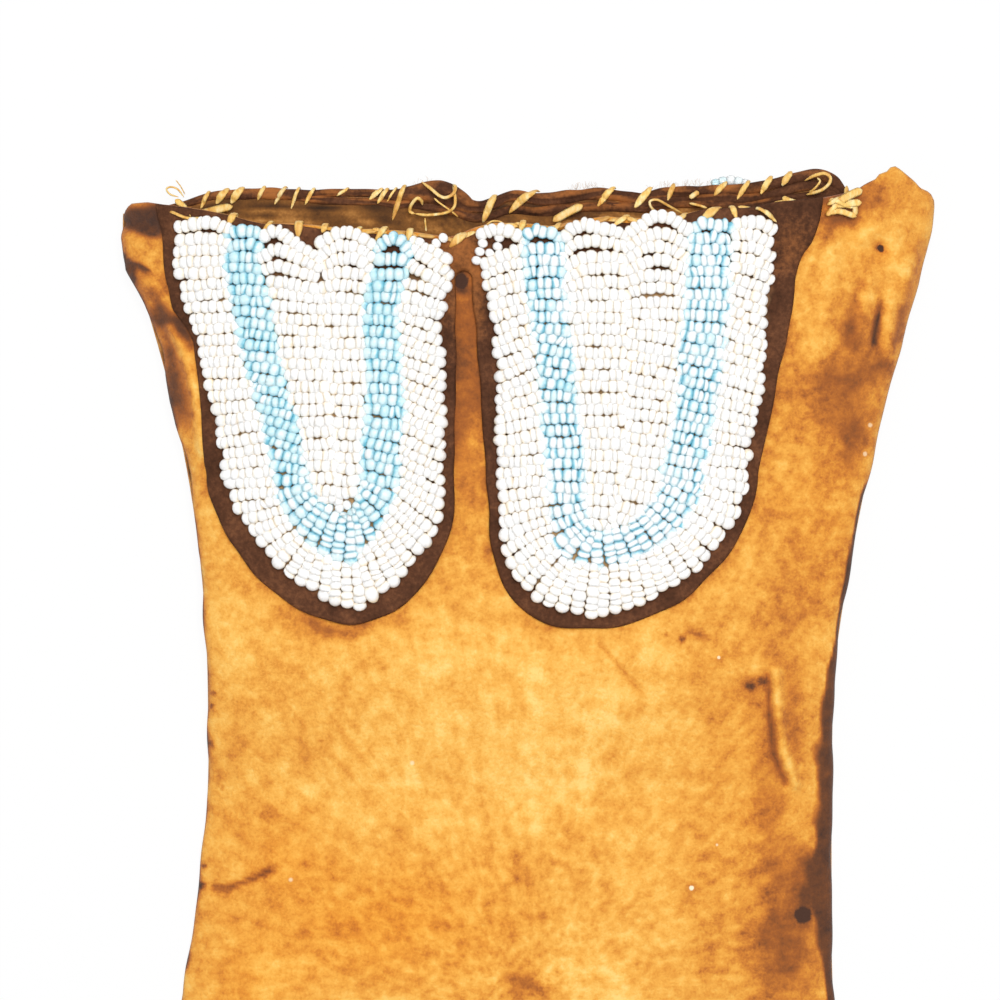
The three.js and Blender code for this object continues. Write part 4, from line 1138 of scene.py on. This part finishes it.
# Outlines of a bead, in front and behind: share of its half-length and of its radius
FRONT_PROFILE = [(0.985, 0.17), (0.88, 0.48), (0.62, 0.79), (0.22, 0.975), (-0.22, 0.975), (-0.62, 0.79),
                 (-0.88, 0.48), (-0.985, 0.17)]
BACK_PROFILE = [(0.6, 0.35), (0.95, 0.7), (0.4, 1.0), (-0.4, 1.0), (-0.95, 0.7), (-0.6, 0.35)]


# Where dirt and painted shade start towards a bead's ends, where it meets the next, and over how much of
# its half-length they set in
END_GRIME_AND_SHADE_START = 0.42
END_GRIME_AND_SHADE_RUN = 0.32


def bead_shape(profile, segments):
    """One bead round its thread: places along and out from it, turns, faces, and where dirt and painted
    shade lie at its ends.
    """
    along, out = np.array(profile).T
    turn = np.arange(segments) * 2 * np.pi / segments
    index = np.arange(len(profile) * segments).reshape(len(profile), segments)
    right = np.roll(index, -1, axis=1)
    below = np.roll(index, -1, axis=0)
    corner = np.roll(right, -1, axis=0)
    faces = np.stack([index, below, corner, right], axis=-1).reshape(-1, 4)
    along, turn_grid = np.meshgrid(along, turn, indexing="ij")
    out = np.broadcast_to(out[:, None], along.shape)
    grime = np.clip((np.abs(along) - END_GRIME_AND_SHADE_START) / END_GRIME_AND_SHADE_RUN, 0, 1)
    return along.ravel(), out.ravel(), turn_grid.ravel(), faces, grime.ravel()


# Beads round the bottoms of the lobes are paler: by how much, and from what depth to what depth it sets in
LOW_BEADS_PALER = 0.35
LOW_BEADS = (55, 85)
# The first and last bead of a row sit lower, where the thread goes into the hide, and tilt that way
END_DROOP = 0.2
END_TILT = 0.25
END_LENGTH = 1.15
# Beads are longer than their share of the thread, so that they close up
BEAD_OVERLAP = 1.5
# How far the middle of a row stands above its ends
ROW_HUMP = 0.55
# How unlike the beads of a row are: length, size of a row, size of a bead, place across and down, and axis
LENGTH_SPREAD = 0.2
ROW_SIZE_SPREAD = 0.025
SIZE_SPREAD = 0.035
ASIDE_SPREAD = 0.10
DOWN_SPREAD = 0.16
AXIS_SPREAD = 0.14
# A slipped bead: its length in steps, its size and its lift in beads, and its share of dirt and painted
# shade
SLIPPED_LENGTH = 1.25
SLIPPED_SIZE = 0.94
SLIPPED_LIFT = 0.52
SLIPPED_GRIME_AND_SHADE = 0.3


class Lane:
    """Beads of one lane, strung row by row and made into one piece."""

    def __init__(self, base, out, shape, rng):
        self.base = base
        self.out = out
        self.along, self.radial, self.turn, self.faces, self.grime = shape
        self.rng = rng
        self.pile = Pile()

    def string(self, plan, room, hump, shades):
        """Adds one row: plan gives points along its thread, room the width that each bead has."""
        rng = self.rng
        run = run_along(plan)
        count = max(2, round(run[-1] / BEAD_STEP + rng.uniform(-0.2, 0.4)))
        lengths = np.clip(rng.normal(1, LENGTH_SPREAD, count), 0.65, 1.45)
        lengths = lengths * (run[-1] + rng.uniform(-0.3, 0.7)) / lengths.sum()
        at = np.cumsum(lengths) - lengths / 2
        at = at + (run[-1] - lengths.sum()) / 2 + rng.uniform(-0.35, 0.35)
        u = np.clip(at / run[-1], 0, 1)
        wide = np.interp(u, np.linspace(0, 1, len(room)), room)
        row_size = BEAD * rng.normal(1, ROW_SIZE_SPREAD)
        size = row_size * np.clip(rng.normal(1, SIZE_SPREAD, count), 0.9, 1.06)
        width = BEAD_SPREAD * np.clip(wide, 0.8 * size, 1.12 * size)
        x, depth = self.along_row(plan, run, at)
        x = x + rng.normal(0, ASIDE_SPREAD, count)
        depth = depth + rng.normal(0, DOWN_SPREAD, count)
        lift = size / 2 + hump * np.clip(1 - (2 * u - 1) ** 2, 0, 1)
        if self.out > 0:
            lift = lift + np.abs(rng.normal(0, 0.08, count))
        else:
            size = np.minimum(size, 0.99 * BEAD)
            lift = size / 2
        lift[[0, -1]] -= END_DROOP
        z = self.base(x, depth) + self.out * lift
        centres = to_space(x, depth, z)
        astray = rng.normal(0, AXIS_SPREAD, (count, 3))
        axes = unit(np.gradient(centres, axis=0) / BEAD_STEP + astray)
        axes[0, 2] += END_TILT * self.out
        axes[-1, 2] -= END_TILT * self.out
        lengths[[0, -1]] *= END_LENGTH
        paler = LOW_BEADS_PALER * smoothstep(depth, *LOW_BEADS)
        for bead, pale in zip(zip(centres, unit(axes), BEAD_OVERLAP * lengths, width, size), paler):
            self.bead(*bead, max(0.0, shades(rng) - pale))

    def slip(self, places, shades):
        """Adds a short string of beads at the places given."""
        x, depth = np.array(places).T
        centres = to_space(x, depth, self.base(x, depth) + self.out * SLIPPED_LIFT * BEAD)
        axes = unit(np.gradient(centres, axis=0))
        size = SLIPPED_SIZE * BEAD
        for centre, axis in zip(centres, axes):
            self.bead(centre, axis, SLIPPED_LENGTH * BEAD_STEP, size, size, shades(self.rng), SLIPPED_GRIME_AND_SHADE)

    @staticmethod
    def along_row(plan, run, at):
        """Places along a row, carried straight on past its ends."""
        start = unit(plan[1] - plan[0])
        end = unit(plan[-1] - plan[-2])
        places = np.stack([np.interp(at, run, plan[:, 0]), np.interp(at, run, plan[:, 1])], axis=1)
        places = places + np.minimum(at, 0)[:, None] * start + np.maximum(at - run[-1], 0)[:, None] * end
        return places.T

    def bead(self, centre, axis, length, width, height, shade, grime_and_shade_share=1.0):
        side = unit(np.cross(axis, (0, 0, self.out)))
        normal = np.cross(side, axis)
        spin = self.turn + self.rng.uniform(0, 1)
        points = centre + np.outer(self.along * length / 2, axis) \
            + np.outer(self.radial * np.cos(spin) * height / 2, normal) \
            + np.outer(self.radial * np.sin(spin) * width / 2, side)
        # a bead under the bag lies on the surface, not in it
        points[:, 2] += max(0.0, -points[:, 2].min())
        # painted shade on the bead's sides and underside, away from its top, which keeps the light colour
        low = np.clip((0.85 - np.cos(spin)) / 0.7, 0, 1)
        grime = np.maximum(self.grime, low) * self.rng.uniform(0.6, 1.1) * grime_and_shade_share
        self.pile.add(points, [self.faces], shade=shade, grime=grime)


# How far beads go from their light colour to their deep one, drawn anew for each bead
BEAD_SHADES = {
    "white": lambda rng: float(np.clip(rng.exponential(0.16), 0, 1)),
    "blue_left": lambda rng: float(np.clip(rng.normal(0.78, 0.26), 0, 1)),
    "blue_right": lambda rng: float(np.clip(rng.normal(0.3, 0.26), 0, 1)),
}


def row_depth(rows, number, u):
    """Depth of one of the listed first rows, at shares of the way from its left end."""
    depths = rows[number]
    return smooth_path(np.array(depths)[:, None], 60)[:, 0][np.round(u * 60).astype(int)]


def level_top(rows):
    """Where a lane would start with level rows, so that its last listed row keeps its place."""
    return np.mean(rows[-1]) - (len(rows) - 0.5) * ROW_PITCH


def settle(plan, rows, falls, number, u):
    """Moves a level row near a lane's top to its listed place, and eases the rows below it."""
    level = plan[:, 1].mean()
    last = len(rows) - 1
    if number <= last:
        return row_depth(rows, number, u) - plan[:, 1]
    fall = through(falls, level)
    left_over = row_depth(rows, last, u) - np.mean(rows[last])
    return fall * (u - 0.5) * (1 - EASING ** (number - last)) + left_over * EASING ** (number - last)


def drifted(ends, drift, edge, t):
    """Moves the ends of rows sideways with the wandering of a lane's edge, on the arm of each row."""
    left = np.interp(ends[:, 1], DRIFT_DEPTHS, drift[edge + "_left"])
    right = np.interp(ends[:, 1], DRIFT_DEPTHS, drift[edge + "_right"])
    on_arm = smoothstep(np.abs(4 * t - 2), 0.3, 1)
    return ends + np.stack([on_arm * np.where(t < 0.5, left, right), np.zeros(len(t))], axis=1)


def round_rows(lobe, edges, top_depth, tops, falls, drift):
    """Rows of a lane that follows the lobe round, each as points from the outer edge to the inner."""
    outer, inner = (lobe[edge + "_edge"] for edge in edges)
    samples = np.linspace(0, 1, 3000)
    middle = {key: (outer[key] + inner[key]) / 2 for key in outer}
    if tops:
        def top_depth(x):
            return np.where(x < lobe["lowest"], level_top(tops[0]), level_top(tops[1]))
    line = lobe_line(lobe, middle, top_depth, samples)
    run = run_along(line)
    count = round(run[-1] / ROW_PITCH)
    t = np.interp((np.arange(count) + 0.5) / count * run[-1], run, samples)
    outer_ends = lobe_line(lobe, outer, top_depth, t)
    inner_ends = lobe_line(lobe, inner, top_depth, t)
    if drift:
        outer_ends = drifted(outer_ends, drift, edges[0], t)
        inner_ends = drifted(inner_ends, drift, edges[1], t)
    u = np.linspace(0, 1, 12)
    rows = []
    for number in range(count):
        plan = outer_ends[number] + (inner_ends[number] - outer_ends[number]) * u[:, None]
        if tops:
            arm = int(t[number] > 0.5)
            from_top = count - 1 - number if arm else number
            on_arm = min(1.0, abs(4 * t[number] - 2))
            plan[:, 1] += on_arm * settle(plan, tops[arm], falls[arm], from_top, 1 - u if arm else u)
        rows.append(plan)
    return rows


def straight_rows(lobe, half, top_depth, tops, falls, drift):
    """Rows of one of the two straight lanes inside the U lanes, left (0) or right (1) of the middle."""
    inset = lobe["inner_edge"]
    line = lobe_line(lobe, inset, top_depth, np.linspace(0, 1, 2001))
    left_side, right_side = line[:1001], line[1000:][::-1]
    start = level_top(tops) if tops else max(left_side[0, 1], right_side[0, 1])
    end = lobe["depth"] - inset["bottom"]
    u = np.linspace(0, 1, 12)
    rows = []
    for number, depth in enumerate(np.arange(start + ROW_PITCH / 2, end, ROW_PITCH)):
        left = np.interp(depth, left_side[:, 1], left_side[:, 0])
        right = np.interp(depth, right_side[:, 1], right_side[:, 0])
        middle = (left + right) / 2
        if drift:
            left += np.interp(depth, DRIFT_DEPTHS, drift["inner_left"])
            middle += np.interp(depth, DRIFT_DEPTHS, drift["middle"])
            right += np.interp(depth, DRIFT_DEPTHS, drift["inner_right"])
        ends = (left, middle) if half == 0 else (middle, right)
        if ends[1] - ends[0] < SHORTEST_ROW:
            if half == 1 or right - left < SHORTEST_MIDDLE_ROW:
                break
            ends = (left, right)
        plan = np.stack([ends[0] + (ends[1] - ends[0]) * u, np.full(len(u), depth)], axis=1)
        if tops:
            plan[:, 1] += settle(plan, tops, falls, number, u)
        rows.append(plan)
    return rows


# How rows are left askew: their lean along a lane, how lean, place, bow and ends differ by row, and a
# usual row's length, by which the ends stretch it
ROW_LEAN = 0.4
LEAN_SPREAD = 0.14
SHIFT_SPREAD = 0.08
BOW_SPREAD = 0.11
ENDS_SPREAD = 0.30
USUAL_ROW = 14


def unsettle(rows, rng):
    """Leaves each row as a hand would: a little askew, a little bowed and not quite evenly spaced."""
    settled = []
    seed = int(rng.integers(1000))
    for number, plan in enumerate(rows):
        u = np.linspace(0, 1, len(plan))
        across = unit(plan[-1] - plan[0])
        sideways = np.array([-across[1], across[0]])
        lean = ROW_LEAN * ripple(number, 0, 13, seed) + rng.normal(0, LEAN_SPREAD)
        shift = rng.normal(0, SHIFT_SPREAD) + lean * (u - 0.5)
        shift = shift + rng.normal(0, BOW_SPREAD) * (1 - (2 * u - 1) ** 2)
        ends = rng.normal(0, ENDS_SPREAD, 2)
        stretched = plan[0] + ends[0] * across + (plan - plan[0]) * (1 + (ends[1] - ends[0]) / USUAL_ROW)
        settled.append(stretched + sideways * shift[:, None])
    return settled


def room_in(rows):
    """How wide the beads of each row may be along it: the way to the farther of the two rows beside it."""
    plans = np.array(rows)
    across = unit(plans[:, -1] - plans[:, 0])
    sideways = np.stack([-across[:, 1], across[:, 0]], axis=1)
    ways = np.abs(np.einsum("nkd,nd->nk", np.diff(plans, axis=0), sideways[:-1]))
    return np.maximum(np.vstack([ways[:1], ways]), np.vstack([ways, ways[-1:]]))


def front_lane_top(x):
    return mouth_depth(FRONT_MOUTH, x) + BEADS_BELOW_RIM


def back_lane_top(x):
    return mouth_depth(BACK_MOUTH, x)


def back_bead_base(x, depth):
    return np.full(np.shape(x), BEAD)


def add_lanes(face, base, out, top_depth, shape, seed):
    rng = np.random.default_rng(seed)
    for side, lobe in LOBES.items():
        tops = FRONT_TOPS[side] if face == "front" else PLAIN_ROWS
        falls = ROW_FALLS[side] if face == "front" else PLAIN_ROWS
        drift = LANE_DRIFT[side] if face == "front" else None
        inner_tops, inner_falls = tops["inner"], falls["inner"]
        lane_rows = {
            "outer_white_beads": round_rows(lobe, ("field", "blue"), top_depth, tops["outer"],
                                            falls["outer"], drift),
            "blue_beads": round_rows(lobe, ("blue", "inner"), top_depth, tops["blue"],
                                     falls["blue"], drift),
            "inner_white_beads_1": straight_rows(lobe, 0, top_depth, inner_tops[0], inner_falls[0], drift),
            "inner_white_beads_2": straight_rows(lobe, 1, top_depth, inner_tops[1], inner_falls[1], drift),
        }
        for lane_name, rows in lane_rows.items():
            blue = lane_name == "blue_beads"
            lane = Lane(base, out, shape, rng)
            hump = ROW_HUMP if out > 0 else 0.0
            shades = BEAD_SHADES["blue_" + side if blue else "white"]
            rows = unsettle(rows, rng)
            for plan, room in zip(rows, room_in(rows)):
                lane.string(plan, room, hump, shades)
            node = f"{face}_{side}_{lane_name}"
            for slipped_from, places in SLIPPED_BEADS:
                if slipped_from == node:
                    lane.slip(places, shades)
            strung = lane.pile.piece(node.replace("_beads", "_strung"), blue_glass if blue else white_glass,
                                     "blue_beads" if blue else "white_beads")
            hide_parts(node)


# Sinew

STITCH_THICK = 0.6
LOOSE_THICK = 0.42
# Stitches over the rolled back rim and the front rim: x, lean to the right, reach below the edge, width
BACK_STITCHES = [
    (-82.4, 2.4, 3.6, 1.2), (-78, 3.3, 3.3, 2.0), (-74.1, 3.3, 3.6, 2.2), (-67.7, 2, 3.2, 1.2),
    (-62.7, 3.3, 4.4, 1.2), (-58.8, 2.4, 5.4, 1.0), (-55, 2.7, 4.1, 1.1), (-46.4, 3.3, 1.8, 0.9),
    (-37.7, 3.6, 2.6, 1.4), (-35.9, 3, 3.7, 1.3), (-33.5, 2.7, 3.2, 0.7), (-31.7, 3.6, 8, 1.4),
    (-8.1, 3.6, 6, 2.0), (0.8, 8, 6, 2.2), (22.5, 4.8, 5.2, 1.8), (32.1, 4.8, 4.5, 2.0),
    (39.5, 1.9, 3.9, 1.4), (52.4, 3.6, 3.2, 1.6), (58.4, 3.6, 4.2, 1.4), (64.4, 3.2, 3.7, 1.7),
    (69.7, 2.7, 2.8, 1.8),
]
FRONT_STITCHES = [
    (-74.4, 1.5, 2, 2), (-65, 2.4, 2, 1.3), (-57, 0.3, 3.4, 2.2), (-50.4, 0.9, 1.4, 1.7),
    (-41.9, 2, 1.4, 1.4), (-35.6, 2.7, 2.6, 1.6), (-28.5, 0.9, 3, 1.8), (-15.6, 4.2, 2.7, 2.4),
    (0.5, 0.9, 2, 1.6), (9.1, 2.7, 1.5, 1.4), (26.1, 3.9, 1.8, 1.5), (41.3, 3.9, 1.8, 1.5),
    (48.9, 5.2, 3.6, 2.4), (54.9, -1.2, 2.4, 1.6),
]
# Ways that a stitch's flat side faces, from its end below the edge to its end behind it
BACK_FACING = [(0, -0.2, 1), (0, 0, 1), (0, 0, 1), (0, 0.1, 1), (0, 0.5, 0.9), (0, 0.9, 0.5), (0, 1, 0),
               (0, 1, -0.5)]
FRONT_FACING = [(0, 0, 1), (0, 0.1, 1), (0, 0.6, 0.8), (0, 1, 0.2), (0, 0.8, -0.6), (0, 0, -1)]
# Points of a back stitch: how far below the crest, as shares of its reach, and how far past the crest
BACK_REACH = (1, 0.8, 0.6, 0.42, 0.24, 0.1, 0, 0)
BACK_OVER = (0, 0, 0, 0, 0, 0, 0.35, 0.2)
# First and last x of the thread along the front edge
THREAD_RUN = (-48, 40)
BACK_STITCH_NODES = [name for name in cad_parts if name.startswith("back_stitch_")]
FRONT_STITCH_NODES = [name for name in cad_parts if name.startswith("front_stitch_")]


def add_back_stitches(rng):
    pile = Pile()
    for x, lean, reach, width in BACK_STITCHES:
        at = x + np.linspace(-0.45, 0.55, len(BACK_FACING)) * lean
        below = reach * np.array(BACK_REACH) - BACK_OVER
        depth = roll_crest(at) + below
        height = roll_top(at, np.maximum(depth, roll_crest(at) + 0.25)) + rng.uniform(0.25, 0.45)
        height[-2:] = BACK_LIFT + HIDE / 2 + np.array([0.2, -1.4])
        steps = 24
        path = smooth_path(to_space(at, depth, height), steps)
        normals = unit(smooth_path(BACK_FACING, steps))
        add_strand(pile, path, normals, width, STITCH_THICK, (0.3, 0.1), rng.uniform(0, 0.25))
    stitches = pile.piece("back_rim_stitches", sinew, "sinew")
    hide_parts(*BACK_STITCH_NODES)


def add_front_stitches(rng):
    pile = Pile()
    for x, lean, reach, width in FRONT_STITCHES:
        rim = front_rim(x)
        outside = [(x - lean * 0.6, rim + reach), (x - lean * 0.2, rim + 0.4 * reach),
                   (x + lean * 0.1, rim - 0.1)]
        points = [to_space(at, depth, front_flap_top(at, depth) + 0.15) for at, depth in outside]
        over_x = x + lean * 0.3
        points.append(to_space(over_x, rim - 0.9, front_top(over_x, rim) - 0.1))
        points.append(to_space(x + lean * 0.4, rim - 0.7, front_top(x, rim) - HIDE - 0.3))
        points.append(to_space(x + lean * 0.5, rim + 1.4, front_top(x, rim + 1.4) - HIDE - 0.5))
        steps = 18
        path = smooth_path(points, steps)
        normals = unit(smooth_path(FRONT_FACING, steps))
        add_strand(pile, path, normals, width, STITCH_THICK, (0.25, 0.1), rng.uniform(0, 0.3))
    # the thread that shows in short bits along the tan edge
    first = THREAD_RUN[0]
    while first < THREAD_RUN[1]:
        last = first + rng.uniform(2.0, 5.0)
        x = np.linspace(first, last, 10)
        depth = front_rim(x) + rng.normal(0.3, 0.35) + np.linspace(-0.5, 0.5, 10) * rng.normal(0, 0.7)
        path = to_space(x, depth, front_top(x, depth) + rng.uniform(0.2, 0.6))
        up = np.broadcast_to((0.0, 0.3, 1.0), path.shape)
        width = rng.uniform(0.7, 1.6)
        add_strand(pile, path, up, width, STITCH_THICK, (0.25, 0.25), rng.uniform(0.1, 0.75), 6)
        first = last - rng.uniform(-0.6, 1.0)
    stitches = pile.piece("front_rim_stitches", sinew, "sinew")
    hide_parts(*FRONT_STITCH_NODES)


# Loose ends of sinew: places on the way (x, depth, height over what lies below), and width
LOOSE_ENDS = [
    ([(-25.7, -6.4, 2), (-23.2, -4.4, 4), (-21, -2.5, 5), (-19.2, -2, 5), (-17.3, -3.1, 5),
      (-16.8, -4.9, 4), (-17.5, -5.7, 2.5)], 0.9),
    ([(-17.5, -5.3, 2.5), (-16.8, -1.3, 5), (-17.5, 0.9, 5), (-19.9, 2, 4), (-24.3, 2.4, 3.5),
      (-27.5, 2, 3)], 0.8),
    ([(-27.5, 2, 3), (-28.7, 1.4, 3), (-28.3, -0.2, 4), (-26.8, -1.8, 5), (-25.7, -1.3, 4),
      (-25.4, -0.2, 2.5)], 0.9),
    ([(-22.4, -2, 4), (-21, -0.7, 4.5), (-18.1, 1.3, 4), (-16.1, 2.9, 3)], 0.5),
    ([(-24.8, 3.1, 3), (-24.6, 5, 4), (-24.4, 6.8, 6)], 0.5),
    ([(42.7, 2, 2), (39, 0.2, 4), (36.1, -1.3, 5), (34.7, -1.4, 5), (33.8, -0.9, 5), (34, 0.2, 5),
      (35.1, 1.6, 4.5), (36.1, 2.7, 3)], 0.7),
    ([(74.3, -6.6, 2), (76.5, -7.7, 4), (79, -8.3, 5), (80.7, -7.4, 5), (80.5, -5.7, 5),
      (78.7, -4.1, 4.5), (76.5, -3.4, 3.5), (74.7, -3, 2)], 0.9),
    ([(77.5, -7.4, 3), (78.1, -6.2, 4.5), (76.6, -4.3, 4), (75.4, -3.6, 2.5)], 0.6),
    ([(-87.6, -2.2, 3), (-89.1, -4.2, 3.5), (-90.9, -4.9, 3.5), (-92.2, -4.4, 3), (-91.3, -3.1, 2.5),
      (-89.1, -2.4, 2)], 0.5),
    ([(-87.4, -3, 2.5), (-88.4, -5, 4), (-89.6, -6.6, 5)], 0.3),
    ([(44.2, -0.8, 2), (46.5, -0.2, 3), (48.9, 0.5, 2.5)], 0.7),
    ([(-9.7, 5.9, 3), (-7.5, 4.2, 4), (-5.2, 4.2, 4), (-3.2, 5.6, 3)], 0.5),
    ([(56.8, 0.3, 4), (60, 1, 5), (62.7, 2.4, 6), (65.5, 4.7, 6)], 1.3),
    ([(57.5, 1.4, 4), (61, 1.7, 5), (64, 3.6, 6), (66, 5.2, 6)], 0.9),
    ([(68.5, -2.3, 3), (70, -1.4, 4), (72.5, -0.6, 4)], 1.5),
    ([(66, -0.6, 3), (69, -1, 4), (71.6, -0.2, 4)], 1.0),
    ([(-94, 0.2, 1), (-90, 2.2, 2), (-86, 3.8, 2.5), (-81.5, 3.9, 2.5)], 0.8),
    ([(-90, -1.8, 2), (-87.5, 0.5, 3), (-86.2, 3.6, 3)], 1.7),
    ([(-85.4, 3.2, 2), (-82.6, 1.9, 3), (-78.8, 0.9, 3), (-75, 0, 2)], 2.2),
    ([(8.6, 4, 3), (12.4, 1.8, 3), (16.4, -0.2, 3)], 2.2),
    ([(44.2, -2, 4), (46.6, -3.6, 4)], 1.4),
]
# The bow of sinew under the ear
LOOSE_ENDS += [
    ([(78, -1.7, 5), (81, -0.6, 7), (84, 0.6, 7), (86.5, 1, 5)], 1.3),
    ([(79.2, 0.6, 5), (82, -0.9, 7.4), (84.5, -2.4, 7), (85.2, -5.2, 4)], 1.3),
    ([(80.5, 0.9, 5.5), (83.5, -1, 7.8), (86, -2.4, 7), (88.4, -3.4, 5)], 2.2),
    ([(81, 0.6, 6), (84.5, 0.2, 7.2), (88.2, -0.2, 6)], 2.0),
    ([(79.6, 2.6, 5), (82.5, 2.2, 6.5), (86.9, 3.5, 5)], 1.6),
    ([(82.4, 0, 7), (80.6, 1.6, 6), (79, 3.4, 4.5)], 1.4),
    ([(84, -1.2, 7), (86.3, 0.9, 6.5), (86.6, 3.2, 5)], 1.5),
]


def ground(x, depth):
    """Height of what shows from above: the rolled back rim, the inside of the back, or the front."""
    on_front = depth > front_rim(x)
    return np.where(on_front, front_flap_top(x, depth), roll_top(x, depth))


def loose_strand(pile, points, width, shade):
    x, depth, over = np.array(points, float).T
    heights = np.maximum(ground(x, depth) + 0.4, BACK_LIFT + HIDE + over)
    steps = 5 * len(points)
    path = smooth_path(to_space(x, depth, heights), steps)
    up = np.broadcast_to((0.15, 0.1, 1.0), path.shape)
    add_strand(pile, path, up, width, LOOSE_THICK, (0.12, 0.12), shade, 6)


def add_loose_sinew(rng):
    pile = Pile()
    for points, width in LOOSE_ENDS:
        loose_strand(pile, points, width, rng.uniform(0, 0.25))
    pile.piece("loose_sinew", sinew, "sinew")


# Fine hairs that stand on the rolled rim: their thickness, and first x, last x and how many in each run
HAIR = 0.05
HAIR_RUNS = [(13, 22, 34), (34, 51, 50), (-28, -22, 10)]


def add_rim_hairs(rng):
    pile = Pile()
    for first, last, count in HAIR_RUNS:
        for x in rng.uniform(first, last, count):
            foot = to_space(x, roll_crest(x) + 0.3, BACK_LIFT + HIDE / 2 + rng.uniform(-0.6, 1.2))
            reach = rng.uniform(0.7, 1.9)
            tip = foot + (rng.normal(0, 0.7), reach, rng.uniform(-0.2, 1.2))
            middle = (foot + tip) / 2 + rng.normal(0, 0.18, 3)
            path = smooth_path([foot, middle, tip], 4)
            up = np.broadcast_to((1.0, 0.2, 0.5), path.shape)
            rings = ribbon(path, up, HAIR * np.linspace(1, 0.4, 5), HAIR, 3)
            pile.add(*skin(rings), shade=rng.uniform(0.5, 1.0))
    pile.piece("rim_hairs", sinew, "sinew")


# Floor, light and camera

CAMERA_DISTANCE = 900
FRAME_WIDTH = 260
FRAME_CENTRE = (-5.2, 76.7)
FOCUS_HEIGHT = 12
SENSOR = 36
FLOOR_HALF = 3000
FLOOR_DROP = 0.05
FLOOR_GREY = 0.85
# How far the floor shows as plain white; the rest of it keeps the bag's shadow
FLOOR_WHITE = 0.92
WORLD_LIGHT = 0.3
# Lamps: name, place and size in metres, power in watts
LAMPS = [("key_lamp", (0.12, 0.37, 1.5), 0.8, 21.0), ("fill_lamp", (-0.9, -0.2, 1.4), 1.2, 2.8)]


def add_floor():
    size = FLOOR_HALF * MM
    mesh = bpy.data.meshes.new("floor")
    corners = [(-size, -size, 0), (size, -size, 0), (size, size, 0), (-size, size, 0)]
    mesh.from_pydata(corners, [], [(0, 1, 2, 3)])
    floor = bpy.data.objects.new("floor", mesh)
    bpy.context.scene.collection.objects.link(floor)
    floor.location.z = -FLOOR_DROP * MM
    material = bpy.data.materials.new("floor")
    material.use_nodes = True
    nodes = material.node_tree.nodes
    link = material.node_tree.links.new
    nodes.clear()
    out = nodes.new("ShaderNodeOutputMaterial")
    paint = nodes.new("ShaderNodeBsdfDiffuse")
    paint.inputs["Color"].default_value = (FLOOR_GREY, FLOOR_GREY, FLOOR_GREY, 1)
    glow = nodes.new("ShaderNodeEmission")
    glow.inputs["Strength"].default_value = 1.0
    path = nodes.new("ShaderNodeLightPath")
    seen = path.outputs["Is Camera Ray"]
    for ray in ("Is Glossy Ray", "Is Transmission Ray"):
        either = nodes.new("ShaderNodeMath")
        either.operation = "MAXIMUM"
        link(seen, either.inputs[0])
        link(path.outputs[ray], either.inputs[1])
        seen = either.outputs[0]
    share = nodes.new("ShaderNodeMath")
    share.operation = "MULTIPLY"
    share.inputs[1].default_value = FLOOR_WHITE
    link(seen, share.inputs[0])
    mix = nodes.new("ShaderNodeMixShader")
    link(share.outputs[0], mix.inputs[0])
    link(paint.outputs[0], mix.inputs[1])
    link(glow.outputs[0], mix.inputs[2])
    link(mix.outputs[0], out.inputs["Surface"])
    mesh.materials.append(material)


def add_lamp(name, place, size, power):
    lamp = bpy.data.lights.new(name, "AREA")
    lamp.shape = "DISK"
    lamp.size = size
    lamp.energy = power
    obj = bpy.data.objects.new(name, lamp)
    bpy.context.scene.collection.objects.link(obj)
    obj.location = place
    target = Vector((0, FRAME_CENTRE[1] * MM, 0))
    obj.rotation_euler = (Vector(place) - target).to_track_quat("Z", "Y").to_euler()


def add_light():
    world = bpy.data.worlds.new("studio")
    world.use_nodes = True
    background = world.node_tree.nodes["Background"]
    background.inputs["Color"].default_value = (1, 1, 1, 1)
    background.inputs["Strength"].default_value = WORLD_LIGHT
    bpy.context.scene.world = world
    for lamp in LAMPS:
        add_lamp(*lamp)


def add_camera():
    camera = bpy.data.cameras.new("camera")
    camera.sensor_width = SENSOR
    camera.lens = SENSOR * CAMERA_DISTANCE / FRAME_WIDTH
    obj = bpy.data.objects.new("camera", camera)
    bpy.context.scene.collection.objects.link(obj)
    height = FOCUS_HEIGHT + CAMERA_DISTANCE
    obj.location = (FRAME_CENTRE[0] * MM, (MOUTH_Y - FRAME_CENTRE[1]) * MM, height * MM)
    bpy.context.scene.camera = obj


# Assembly

add_camera()
add_floor()
add_light()
bpy.context.scene.view_settings.view_transform = "Standard"

dark_hide = dark_hide_material()
# The light colours show on the beads' tops; the blue's, near white, is a painted highlight. The edge
# colours are painted shade with some dirt, on the beads' sides and where they meet.
white_glass = bead_material("white_glass", srgb(255, 254, 251), srgb(253, 247, 239), srgb(249, 228, 198),
                            0.25)
blue_glass = bead_material("blue_glass", srgb(252, 255, 255), srgb(204, 236, 243), srgb(104, 186, 208),
                           0.05)
sinew = sinew_material()

front_hide = add_front_hide()
back_hide = add_back_hide()
front_flap = add_front_flap()
back_flap = add_back_flap()
add_lanes("front", front_flap_top, 1, front_lane_top, bead_shape(FRONT_PROFILE, 10), 101)
add_lanes("back", back_bead_base, -1, back_lane_top, bead_shape(BACK_PROFILE, 6), 102)
add_back_stitches(np.random.default_rng(201))
add_front_stitches(np.random.default_rng(202))
add_loose_sinew(np.random.default_rng(203))
add_rim_hairs(np.random.default_rng(204))
for thread in ("left_seam_thread", "right_seam_thread", "bottom_seam_thread"):
    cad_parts[thread].data.materials.clear()
    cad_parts[thread].data.materials.append(sinew)
